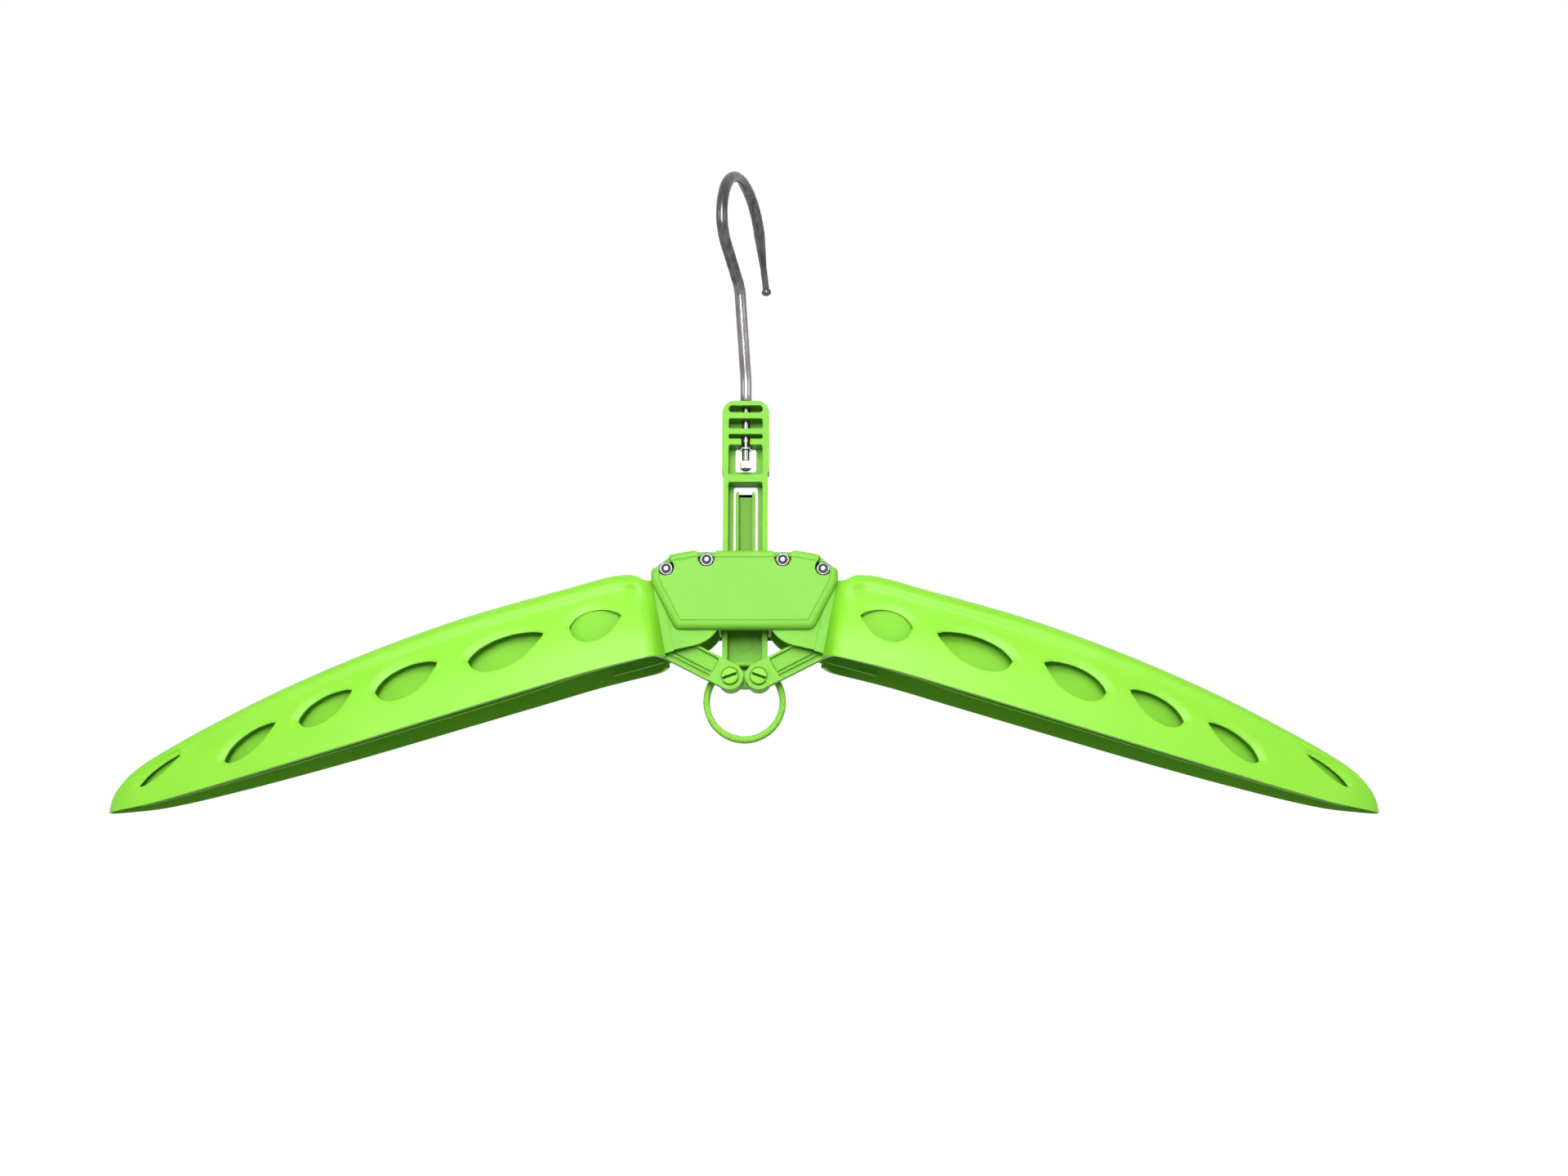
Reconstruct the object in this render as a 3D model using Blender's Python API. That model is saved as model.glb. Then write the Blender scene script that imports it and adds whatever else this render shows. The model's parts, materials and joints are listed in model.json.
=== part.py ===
# Folding wetsuit hanger: a steel swivel hook, a moulded slider bar with a pull ring,
# a two-half housing and two hollow arms that fold when the bar is drawn down.
# Metres, Z up, front face towards -Y. The origin is inside the hook, at the point that bears on a rail.
# Heights in the tables below are measured from the housing datum, a level inside the housing.

import math

import bmesh
import bpy
from mathutils import Matrix, Vector

# Clearances and overruns
SEAT_GAP = 0.0003
RUNNING_GAP = 0.00025
SLIDE_GAP = 0.0005
SWING_GAP = 0.0004
CUT_OVERRUN = 0.004

# Faceting
ROUND_STEPS = 24
SMALL_ROUND_STEPS = 16
RING_STEPS = 40
ROD_SIDES = 12
CORNER_STEPS = 3
FILLET_STEPS = 3
LEAF_STEPS = 8
BEND_STEP = math.radians(12.0)
SHARP_EDGE_ANGLE = math.radians(32.0)

# Surfaces
PLASTIC_COLOUR = (0.42, 0.93, 0.13, 1.0)
STEEL_COLOUR = (0.72, 0.73, 0.75, 1.0)
PLASTIC_ROUGHNESS = 0.38
ROD_ROUGHNESS = 0.22
FASTENER_ROUGHNESS = 0.30

# Swivel hook, bent from round steel rod
ROD_DIAMETER = 0.0048
STEM_DIAMETER = 0.0030
HOOK_TURN = math.radians(72.0)
SHANK_FOOT = 0.0060
SHANK_LEAN = math.radians(12.6)
LEAN_BEND_RADIUS = 0.0200
SHANK_LENGTH = 0.0324
KICK_ANGLE = math.radians(40.2)
KICK_BEND_RADIUS = 0.0092
KICK_LENGTH = 0.0170
HEEL_RADIUS = 0.0140
HEEL_ANGLE = math.radians(55.8)
LOOP_RADIUS = 0.0241
LOOP_ANGLE = math.radians(154.0)
TIP_LENGTH = 0.0150
TIP_NECK_LENGTH = 0.0070
TIP_NECK_DIAMETER = 0.0034
TIP_BEAD_LENGTH = 0.0020
TIP_BEAD_DIAMETER = 0.0043
SHOULDER_TAPER = 0.0008
STEM_END_BELOW_NUT = 0.0006

# Washer and nut that hold the hook in the bar
WASHER_DIAMETER = 0.0059
WASHER_THICKNESS = 0.0008
HOOK_NUT_FLATS = 0.0044
HOOK_NUT_HEIGHT = 0.0034
HOOK_NUT_DROP = 0.0055

# Slider bar
BAR_WIDTH = 0.0176
BAR_DEPTH = 0.0086
BAR_TOP = 0.0760
BAR_FOOT = -0.0300
HEAD_WIDTH = 0.0187
HEAD_BOTTOM = 0.0452
HEAD_CORNER = 0.0032
BAR_CHAMFER = 0.0005
FLANGE_WIDTH = 0.0020
WEB_THICKNESS = 0.0020
HEAD_TOP_WALL = 0.0024
RIB_THICKNESS = 0.0024
LOWER_RIB_THICKNESS = 0.0020
RIB_1_TOP = 0.0709
RIB_2_TOP = 0.0640
RIB_3_TOP = 0.0600
CROSSBAR_THICKNESS = 0.0026
STEM_BORE_DIAMETER = 0.0036
NUT_WINDOW_WIDTH = 0.0084
NUT_WINDOW_TOP = 0.0580
NUT_WINDOW_BOTTOM = 0.0481
LATCH_WINDOW_WIDTH = 0.0097
LATCH_WINDOW_TOP = 0.0422
LATCH_WINDOW_BOTTOM = 0.0059
EJECTOR_DIAMETER = 0.0070
EJECTOR_HEIGHT = 0.0003
EJECTOR_LEVEL = -0.0212

# Latch tongue
TONGUE_WIDTH = 0.0076
TONGUE_TIP = 0.0389
TONGUE_FRONT = -0.0022
TONGUE_BACK = 0.0040
TONGUE_SIDE_RIB = 0.0013
TONGUE_END_WALL = 0.0016
TONGUE_WEB = 0.0016
TONGUE_CORNER = 0.0009

# Pivot plate and pull ring
LINK_PIVOT_X = 0.0055
LINK_PIVOT_Z = -0.0364
PLATE_BOTTOM = -0.0419
PLATE_HALF_WIDTH = 0.0130
PLATE_CORNER = 0.0016
RING_CENTRE_Z = -0.0451
RING_RADIUS = 0.0160
RING_BAND = 0.0024
RING_DEPTH = 0.0056
RING_CHAMFER = 0.0007

# Links
LINK_LENGTH = 0.0450
LINK_ANGLE = math.radians(27.1)
LINK_END_RADIUS = 0.0050
LINK_RIM = 0.0014
LINK_CHANNEL_DEPTH = 0.0012
LINK_CHANNEL_START = 0.0078
LINK_CHAMFER = 0.0004
LINK_PIN_DIAMETER = 0.0044
LINK_PIN_HEAD_DIAMETER = 0.0064
LINK_PIN_HEAD_HEIGHT = 0.0009
LINK_PIN_LIP_DIAMETER = 0.0056
LINK_PIN_LIP_HEIGHT = 0.0008
LINK_PIN_SLOT_WIDTH = 0.0008
LINK_PIN_SLOT_DEPTH = 0.0016
LINK_PIN_SLOT_TILT = math.radians(20.0)
ARM_PIN_DIAMETER = 0.0032
ARM_PIN_HEAD_DIAMETER = 0.0052
ARM_PIN_HEAD_HEIGHT = 0.0010
ARM_PIN_FLOAT = 0.00125

# Housing covers
COVER_WALL = 0.0025
COVER_RIM = 0.0018
COVER_FILLET = 0.0026
COVER_TOP = 0.0124
COVER_BOTTOM = -0.0187
COVER_HALF_WIDTH = 0.0362
COVER_BOTTOM_INSET = 0.0096
COVER_SIDE_BOTTOM = -0.0003
COVER_SIDE_TOP = 0.0050
COVER_SHOULDER_INSET = 0.0074
COVER_SHOULDER_Z = 0.0109
COVER_CREST_INSET = 0.0157
COVER_CORNER = 0.0033
COVER_CREST_CORNER = 0.0040
BORDER_GROOVE_WIDTH = 0.0005
BORDER_GROOVE_DEPTH = 0.00015
INNER_BOLT_LAND = 0.0026
INNER_BOLT_Z = 0.0090
OUTER_BOLT_INSET = 0.0057
OUTER_BOLT_Z = 0.0054
OUTER_NOTCH_LEAN = math.radians(36.0)
NOTCH_RADIUS = 0.0033
NOTCH_FLARE = math.radians(14.0)
BOSS_RADIUS = 0.0029
NOTCH_DEPTH = 0.0047
GUIDE_HEIGHT = 0.0036
GUIDE_STEM_HALF_WIDTH = 0.0052
GUIDE_CHEEK = 0.0010

# Fasteners
BOLT_DIAMETER = 0.0025
BOLT_HEAD_DIAMETER = 0.0048
BOLT_HEAD_HEIGHT = 0.0019
BOLT_SOCKET_FLATS = 0.0016
BOLT_SOCKET_DEPTH = 0.0010
NUT_FLATS = 0.0050
NUT_HEIGHT = 0.0020
BOLT_PROUD = 0.0005
EDGE_BREAK = 0.0003

# Arm axles
ARM_PIVOT_X = 0.0220
ARM_PIVOT_Z = -0.0080
AXLE_DIAMETER = 0.0060
AXLE_SOCKET_DEPTH = 0.0015

# Arms: a hollow shell open underneath, with two plates at the inner end that turn on the axle
ARM_ROOT_LAP = 0.0002
ARM_LENGTH = 0.2075
ARM_DROP = 0.0900
ARM_HALF_DEPTH = 0.0220
ARM_WALL = 0.0018
ARM_STEP_LEAN = 0.0060
ARM_STEP_REACH = 0.0300
ARM_BOX_REACH = 0.0120
ARM_NOSE_STOP = 0.0055
NECK_SINK = 0.0003
NECK_PLATE = 0.0017
NECK_LINK_GAP = 0.0007
NECK_RADIUS = 0.0141
NECK_ARC_X = 0.0223
NECK_ARC_Z = -0.0110
NECK_TOP = 0.0007
NECK_FOOT_INSET = 0.0060
NECK_FOOT_Z = -0.0271
NECK_PIN_LAND = 0.0065
NECK_ROOT_RISE = 0.0012
PANEL_THICKNESS = 0.0016
PANEL_RISE = 0.0005
NECK_WEB_INSET = 0.0090
NECK_WEB_THICKNESS = 0.0016
NECK_FOOT_ANGLE = math.radians(260.0)
DRAIN_HOLE_DIAMETER = 0.0072
DRAIN_HOLE_REACH = 0.1370
DRAIN_HOLE_RISE = 0.0088

# The arm's top and bottom edges: share of its length, then height as a share of its drop
ARM_TOP_SHARES = (
    (0.0, 0.014), (0.017, 0.019), (0.029, 0.036), (0.041, 0.048), (0.063, 0.050), (0.101, 0.030),
    (0.140, 0.003), (0.212, -0.044), (0.342, -0.132), (0.463, -0.231), (0.588, -0.348), (0.713, -0.481),
    (0.839, -0.634), (0.916, -0.737), (0.959, -0.807), (0.983, -0.868), (0.9957, -0.920), (1.0, -0.965),
)
ARM_BOTTOM_SHARES = (
    (0.0, -0.327), (0.342, -0.568), (0.588, -0.741), (0.800, -0.882), (0.910, -0.947), (0.978, -0.973),
    (1.0, -0.981),
)
# Half depth along the arm, as a share of its largest half depth
ARM_DEPTH_SHARES = (
    (0.0, 0.5591), (0.010, 0.682), (0.024, 0.832), (0.043, 0.945), (0.067, 0.991), (0.101, 1.0),
    (0.212, 1.0), (0.347, 0.964), (0.506, 0.909), (0.598, 0.859), (0.684, 0.791), (0.752, 0.723),
    (0.839, 0.605), (0.906, 0.482), (0.949, 0.364), (0.978, 0.236), (0.993, 0.132), (1.0, 0.045),
)
# Section of the shell: share of its height from the top, then half depth as a share of the local one
WALL_SHARES = (
    (0.0, 0.0), (0.010, 0.28), (0.035, 0.47), (0.085, 0.61), (0.150, 0.665), (0.215, 0.680),
    (0.300, 0.730), (0.450, 0.820), (0.700, 0.935), (1.0, 1.0),
)
BOX_SHARES = (
    (0.0, 0.0), (0.004, 0.60), (0.012, 0.80), (0.035, 0.93), (0.080, 0.985), (0.150, 1.0),
    (0.300, 1.0), (0.450, 1.0), (0.700, 1.0), (1.0, 1.0),
)
STATION_SHARES = (
    0.0, 0.010, 0.024, 0.041, 0.063, 0.101, 0.150, 0.212, 0.300, 0.400, 0.500, 0.600, 0.700, 0.785, 0.850,
    0.900, 0.935, 0.960, 0.978, 0.990, 0.9957, 1.0,
)

# Openings in the arm's front wall, from the root out. Each row has the middle of the chord, along and in
# height, as shares of the arm's length and drop; the chord as a share of the length; the upper and lower
# bulge as shares of the chord; and the tilt in degrees.
OPENING_SHARES = (
    (0.0948, -0.185, 0.0987, 0.190, 0.395, -13.1),
    (0.2578, -0.296, 0.1478, 0.143, 0.275, -20.6),
    (0.4405, -0.423, 0.1258, 0.165, 0.285, -26.1),
    (0.5886, -0.542, 0.1130, 0.160, 0.250, -31.4),
    (0.7260, -0.692, 0.1149, 0.148, 0.175, -37.9),
    (0.8995, -0.805, 0.0947, 0.078, 0.095, -38.1),
)
LIP_WIDTH = 0.0030
LIP_DEPTH = 0.0012
LIP_LEAN = math.radians(55.0)
# Panel inside the arm, behind the openings: place along the arm, depth of its front face and drop of its
# top edge, as shares of the arm's length, largest half depth and drop
PANEL_SHARES = (
    (0.041, 0.691, 0.111), (0.145, 0.691, 0.111), (0.217, 0.495, 0.035), (0.337, 0.468, 0.029),
    (0.482, 0.455, 0.029), (0.578, 0.432, 0.029), (0.720, 0.364, 0.029), (0.820, 0.305, 0.029),
    (0.890, 0.223, 0.029), (0.940, 0.141, 0.029),
)

# Worked-out places. Depths stack up from the arm's root: neck plate, the link inside it, the cover outside.
NECK_FRONT = ARM_HALF_DEPTH * ARM_DEPTH_SHARES[0][1] - NECK_SINK
NECK_BACK = NECK_FRONT - NECK_PLATE
COVER_INNER = NECK_FRONT + SWING_GAP
COVER_DEPTH = COVER_INNER + COVER_WALL
NUT_SEAT_DEPTH = COVER_DEPTH - NOTCH_DEPTH
BAR_FRONT = -BAR_DEPTH / 2
BAR_BACK = BAR_DEPTH / 2
WEB_FRONT = BAR_BACK - WEB_THICKNESS
CHANNEL_HALF_WIDTH = BAR_WIDTH / 2 - FLANGE_WIDTH
LINK_BACK = BAR_FRONT - SEAT_GAP
LINK_FRONT = NECK_LINK_GAP - NECK_BACK
RIB_3_BOTTOM = RIB_3_TOP - RIB_THICKNESS
WASHER_TOP = RIB_3_BOTTOM - SEAT_GAP
NUT_BOTTOM = RIB_3_BOTTOM - HOOK_NUT_DROP - HOOK_NUT_HEIGHT
LINK_TOP_X = LINK_PIVOT_X + LINK_LENGTH * math.cos(LINK_ANGLE)
LINK_TOP_Z = LINK_PIVOT_Z + LINK_LENGTH * math.sin(LINK_ANGLE)
COVER_SHOULDER_X = COVER_HALF_WIDTH - COVER_SHOULDER_INSET
COVER_CREST_X = COVER_HALF_WIDTH - COVER_CREST_INSET
OUTER_BOLT_X = COVER_HALF_WIDTH - OUTER_BOLT_INSET
INNER_BOLT_X = BAR_WIDTH / 2 + SLIDE_GAP + BOSS_RADIUS + INNER_BOLT_LAND
ARM_ROOT_X = COVER_HALF_WIDTH - ARM_ROOT_LAP
NECK_ROOT_X = LINK_TOP_X + NECK_PIN_LAND
SPLIT_FACE = SEAT_GAP / 2


# Outlines and curves

def polar(centre_x, centre_z, radius, angle):
    return (centre_x + radius * math.cos(angle), centre_z + radius * math.sin(angle))


def arc_points(centre_x, centre_z, radius, start, end, steps):
    return [polar(centre_x, centre_z, radius, start + (end - start) * i / steps) for i in range(steps + 1)]


def circle(centre_x, centre_z, radius, steps=ROUND_STEPS):
    return arc_points(centre_x, centre_z, radius, 0.0, 2 * math.pi, steps)[:-1]


def hexagon(centre_x, centre_z, flats, turn=0.0):
    radius = flats / 2 / math.cos(math.pi / 6)
    return [polar(centre_x, centre_z, radius, turn + i * math.pi / 3) for i in range(6)]


def rectangle(x_low, z_low, x_high, z_high):
    return [(x_low, z_low), (x_high, z_low), (x_high, z_high), (x_low, z_high)]


def rounded_outline(corners, inset=0.0):
    """Points of an anticlockwise outline with rounded corners (x, z, radius), moved inwards by inset."""
    points = []
    count = len(corners)
    for i, (x, z, radius) in enumerate(corners):
        here = Vector((x, z))
        into = (here - Vector(corners[i - 1][:2])).normalized()
        out = (Vector(corners[(i + 1) % count][:2]) - here).normalized()
        normal_in = Vector((-into.y, into.x))
        normal_out = Vector((-out.y, out.x))
        here = here + (normal_in + normal_out) * (inset / (1 + normal_in.dot(normal_out)))
        if radius == 0:
            points.append((here.x, here.y))
            continue
        turn = math.atan2(into.x * out.y - into.y * out.x, into.dot(out))
        reach = radius - inset if turn > 0 else radius + inset
        start = here - into * (reach * math.tan(abs(turn) / 2))
        side = 1 if turn > 0 else -1
        centre = start + normal_in * (reach * side)
        arm = start - centre
        for step in range(CORNER_STEPS + 1):
            spun = Matrix.Rotation(turn * step / CORNER_STEPS, 2) @ arm
            points.append((centre.x + spun.x, centre.y + spun.y))
    return points


def mirrored_corners(half):
    """The right half of a symmetric outline, from its bottom to its top, with its mirror image added."""
    return list(half) + [(-x, z, radius) for x, z, radius in reversed(half)]


def smooth_at(shares, position):
    """Height of a smooth curve through a table of shares, at one position along it."""
    last = len(shares) - 2
    index = max(i for i in range(last + 1) if i == 0 or shares[i][0] <= position)
    before = shares[max(index - 1, 0)]
    low = shares[index]
    high = shares[index + 1]
    after = shares[min(index + 2, last + 1)]
    width = high[0] - low[0]
    slope = (high[1] - low[1]) / width
    slope_low = slope if before is low else (high[1] - before[1]) / (high[0] - before[0])
    slope_high = slope if after is high else (after[1] - low[1]) / (after[0] - low[0])
    t = min(max((position - low[0]) / width, 0.0), 1.0)
    square = t * t
    cube = square * t
    return (
        (2 * cube - 3 * square + 1) * low[1] + (cube - 2 * square + t) * slope_low * width
        + (3 * square - 2 * cube) * high[1] + (cube - square) * slope_high * width
    )


# Solids

def loft(rings):
    """A closed solid through rings of points, each ring a list of (x, y, z)."""
    mesh = bmesh.new()
    rows = [[mesh.verts.new(point) for point in ring] for ring in rings]
    count = len(rows[0])
    for low, high in zip(rows, rows[1:]):
        for i in range(count):
            j = (i + 1) % count
            mesh.faces.new((low[i], low[j], high[j], high[i]))
    mesh.faces.new(list(reversed(rows[0])))
    mesh.faces.new(rows[-1])
    bmesh.ops.recalc_face_normals(mesh, faces=mesh.faces)
    return mesh


def at_depth(outline, y):
    return [(x, y, z) for x, z in outline]


def prism(outline, y_front, y_back):
    return loft([at_depth(outline, y_front), at_depth(outline, y_back)])


def eased_prism(corners, y_front, y_back, ease):
    """A plate whose front and back edges are broken by a small chamfer."""
    return loft([
        at_depth(rounded_outline(corners, ease), y_front),
        at_depth(rounded_outline(corners), y_front + ease),
        at_depth(rounded_outline(corners), y_back - ease),
        at_depth(rounded_outline(corners, ease), y_back),
    ])


def turned(centre_x, centre_z, profile, steps=ROUND_STEPS):
    """A solid turned about an axis along Y, through rings given as (y, radius)."""
    return loft([at_depth(circle(centre_x, centre_z, radius, steps), y) for y, radius in profile])


def upright(outline, z_low, z_high):
    """A solid extruded along Z from an outline of (x, y) points."""
    return loft([[(x, y, z_low) for x, y in outline], [(x, y, z_high) for x, y in outline]])


def box(x_low, x_high, y_low, y_high, z_low, z_high):
    return prism(rectangle(x_low, z_low, x_high, z_high), y_low, y_high)


def as_object(mesh, name):
    data = bpy.data.meshes.new(name)
    mesh.to_mesh(data)
    mesh.free()
    thing = bpy.data.objects.new(name, data)
    bpy.context.scene.collection.objects.link(thing)
    return thing


def combine(mesh, others, operation):
    """The exact Boolean of a solid with each of the others in turn."""
    for other in others:
        body = as_object(mesh, "body")
        tool = as_object(other, "tool")
        modifier = body.modifiers.new("cut", "BOOLEAN")
        modifier.operation = operation
        modifier.solver = "EXACT"
        modifier.object = tool
        bpy.context.view_layer.update()
        evaluated = body.evaluated_get(bpy.context.evaluated_depsgraph_get())
        mesh = bmesh.new()
        mesh.from_mesh(evaluated.data)
        bpy.data.objects.remove(body, do_unlink=True)
        bpy.data.objects.remove(tool, do_unlink=True)
    return mesh


def cut(mesh, *others):
    return combine(mesh, others, "DIFFERENCE")


def fuse(mesh, *others):
    return combine(mesh, others, "UNION")


def mirror_mesh(mesh, axis):
    """The mirror image of a solid across the plane through the origin that is square to the axis."""
    factors = [1.0, 1.0, 1.0]
    factors["XYZ".index(axis)] = -1.0
    bmesh.ops.scale(mesh, vec=factors, verts=mesh.verts)
    bmesh.ops.reverse_faces(mesh, faces=mesh.faces)
    return mesh


# Materials and assembly

def add_material(name, colour, roughness, metallic):
    material = bpy.data.materials.new(name)
    material.use_nodes = True
    shader = material.node_tree.nodes["Principled BSDF"]
    shader.inputs["Base Color"].default_value = colour
    shader.inputs["Roughness"].default_value = roughness
    shader.inputs["Metallic"].default_value = metallic
    return material


def plastic(name):
    return add_material(name + "_plastic", PLASTIC_COLOUR, PLASTIC_ROUGHNESS, 0.0)


def steel(name, roughness=FASTENER_ROUGHNESS):
    return add_material(name + "_steel", STEEL_COLOUR, roughness, 1.0)


def add_pivot(name, parent, x, y, z):
    """An empty on a joint's axis, at a place measured from the housing datum."""
    pivot = bpy.data.objects.new(name, None)
    bpy.context.scene.collection.objects.link(pivot)
    pivot.parent = parent["empty"] if parent else None
    origin = Vector((x, y, z))
    pivot.location = origin - (parent["origin"] if parent else Vector((0.0, 0.0, 0.0)))
    return {"empty": pivot, "origin": origin}


def add_piece(name, mesh, pivot, material):
    """One named piece, built in datum coordinates, whose origin is its body's pivot."""
    bmesh.ops.translate(mesh, verts=mesh.verts, vec=-pivot["origin"])
    piece = as_object(mesh, name)
    piece.parent = pivot["empty"]
    piece.data.materials.append(material)
    piece.data.shade_smooth()
    piece.data.set_sharp_from_angle(angle=SHARP_EDGE_ANGLE)
    return piece


# Hook

def bent_path(start_z, moves):
    """Points along a bent rod that starts upwards: each move is (straight, bend radius, bend angle)."""
    place = Vector((0.0, start_z))
    heading = math.pi / 2
    points = [(place.copy(), heading)]
    for straight, radius, angle in moves:
        if straight > 0:
            place = place + Vector((math.cos(heading), math.sin(heading))) * straight
            points.append((place.copy(), heading))
        if angle == 0:
            continue
        steps = max(2, math.ceil(abs(angle) / BEND_STEP))
        side = 1 if angle > 0 else -1
        centre = place + Vector((-math.sin(heading), math.cos(heading))) * (radius * side)
        for step in range(1, steps + 1):
            turned_by = angle * step / steps
            spoke = Matrix.Rotation(turned_by, 2) @ (place - centre)
            points.append((centre + spoke, heading + turned_by))
        place = points[-1][0].copy()
        heading += angle
    return points


def hook_path():
    """The rod's centre line, in the hook's own plane, as (place, heading, radius) rows."""
    stem = STEM_DIAMETER / 2
    rod = ROD_DIAMETER / 2
    neck = TIP_NECK_DIAMETER / 2
    bead = TIP_BEAD_DIAMETER / 2
    stem_bottom = NUT_BOTTOM - STEM_END_BELOW_NUT
    shoulder = BAR_TOP + SEAT_GAP
    rows = [
        (Vector((0.0, stem_bottom)), math.pi / 2, stem - EDGE_BREAK),
        (Vector((0.0, stem_bottom + EDGE_BREAK)), math.pi / 2, stem),
        (Vector((0.0, shoulder)), math.pi / 2, stem),
        (Vector((0.0, shoulder + EDGE_BREAK)), math.pi / 2, rod - EDGE_BREAK),
    ]
    shank_start = shoulder + SHOULDER_TAPER
    moves = (
        (SHANK_FOOT, LEAN_BEND_RADIUS, SHANK_LEAN),
        (SHANK_LENGTH, KICK_BEND_RADIUS, KICK_ANGLE),
        (KICK_LENGTH, HEEL_RADIUS, -HEEL_ANGLE),
        (0.0, LOOP_RADIUS, -LOOP_ANGLE),
        (TIP_LENGTH, 0.0, 0.0),
    )
    rows += [(place, heading, rod) for place, heading in bent_path(shank_start, moves)]
    end, heading, _ = rows[-1]
    along = Vector((math.cos(heading), math.sin(heading)))
    step = rod - neck
    for distance, radius in (
        (step, neck),
        (TIP_NECK_LENGTH, neck),
        (TIP_NECK_LENGTH + step, bead),
        (TIP_NECK_LENGTH + TIP_BEAD_LENGTH, bead),
        (TIP_NECK_LENGTH + TIP_BEAD_LENGTH + step, neck),
    ):
        rows.append((end + along * distance, heading, radius))
    return rows


def saddle_height():
    """Height of the inside of the hook's loop above the housing datum."""
    return max(place.y - radius for place, _, radius in hook_path())


def make_hook():
    sideways = Vector((math.cos(HOOK_TURN), math.sin(HOOK_TURN), 0.0))
    binormal = Vector((-math.sin(HOOK_TURN), math.cos(HOOK_TURN), 0.0))
    rings = []
    for place, heading, radius in hook_path():
        centre = sideways * place.x + Vector((0.0, 0.0, place.y))
        normal = sideways * -math.sin(heading) + Vector((0.0, 0.0, math.cos(heading)))
        ring = []
        for i in range(ROD_SIDES):
            angle = 2 * math.pi * i / ROD_SIDES
            spoke = normal * math.cos(angle) + binormal * math.sin(angle)
            ring.append(centre + spoke * radius)
        rings.append(ring)
    return loft(rings)


def make_hook_washer():
    ring = upright(circle(0.0, 0.0, WASHER_DIAMETER / 2), WASHER_TOP - WASHER_THICKNESS, WASHER_TOP)
    bore = upright(
        circle(0.0, 0.0, STEM_DIAMETER / 2 + RUNNING_GAP, SMALL_ROUND_STEPS),
        WASHER_TOP - WASHER_THICKNESS - CUT_OVERRUN, WASHER_TOP + CUT_OVERRUN,
    )
    return cut(ring, bore)


def make_hook_nut():
    top = NUT_BOTTOM + HOOK_NUT_HEIGHT
    nut = loft([
        [(x, y, NUT_BOTTOM) for x, y in hexagon(0.0, 0.0, HOOK_NUT_FLATS - EDGE_BREAK)],
        [(x, y, NUT_BOTTOM + EDGE_BREAK) for x, y in hexagon(0.0, 0.0, HOOK_NUT_FLATS)],
        [(x, y, top - EDGE_BREAK) for x, y in hexagon(0.0, 0.0, HOOK_NUT_FLATS)],
        [(x, y, top) for x, y in hexagon(0.0, 0.0, HOOK_NUT_FLATS - EDGE_BREAK)],
    ])
    bore = upright(
        circle(0.0, 0.0, STEM_DIAMETER / 2 + SEAT_GAP, SMALL_ROUND_STEPS),
        NUT_BOTTOM - CUT_OVERRUN, top + CUT_OVERRUN,
    )
    return cut(nut, bore)


# Slider bar with its pivot plate and pull ring

def make_pull_ring():
    inner = RING_RADIUS - RING_BAND
    half = RING_DEPTH / 2
    disc = turned(0.0, RING_CENTRE_Z, (
        (-half, RING_RADIUS - RING_CHAMFER), (-half + RING_CHAMFER, RING_RADIUS),
        (half - RING_CHAMFER, RING_RADIUS), (half, RING_RADIUS - RING_CHAMFER),
    ), RING_STEPS)
    hole = turned(0.0, RING_CENTRE_Z, (
        (-half - CUT_OVERRUN, inner + RING_CHAMFER + CUT_OVERRUN), (-half + RING_CHAMFER, inner),
        (half - RING_CHAMFER, inner), (half + CUT_OVERRUN, inner + RING_CHAMFER + CUT_OVERRUN),
    ), RING_STEPS)
    return cut(disc, hole)


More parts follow.
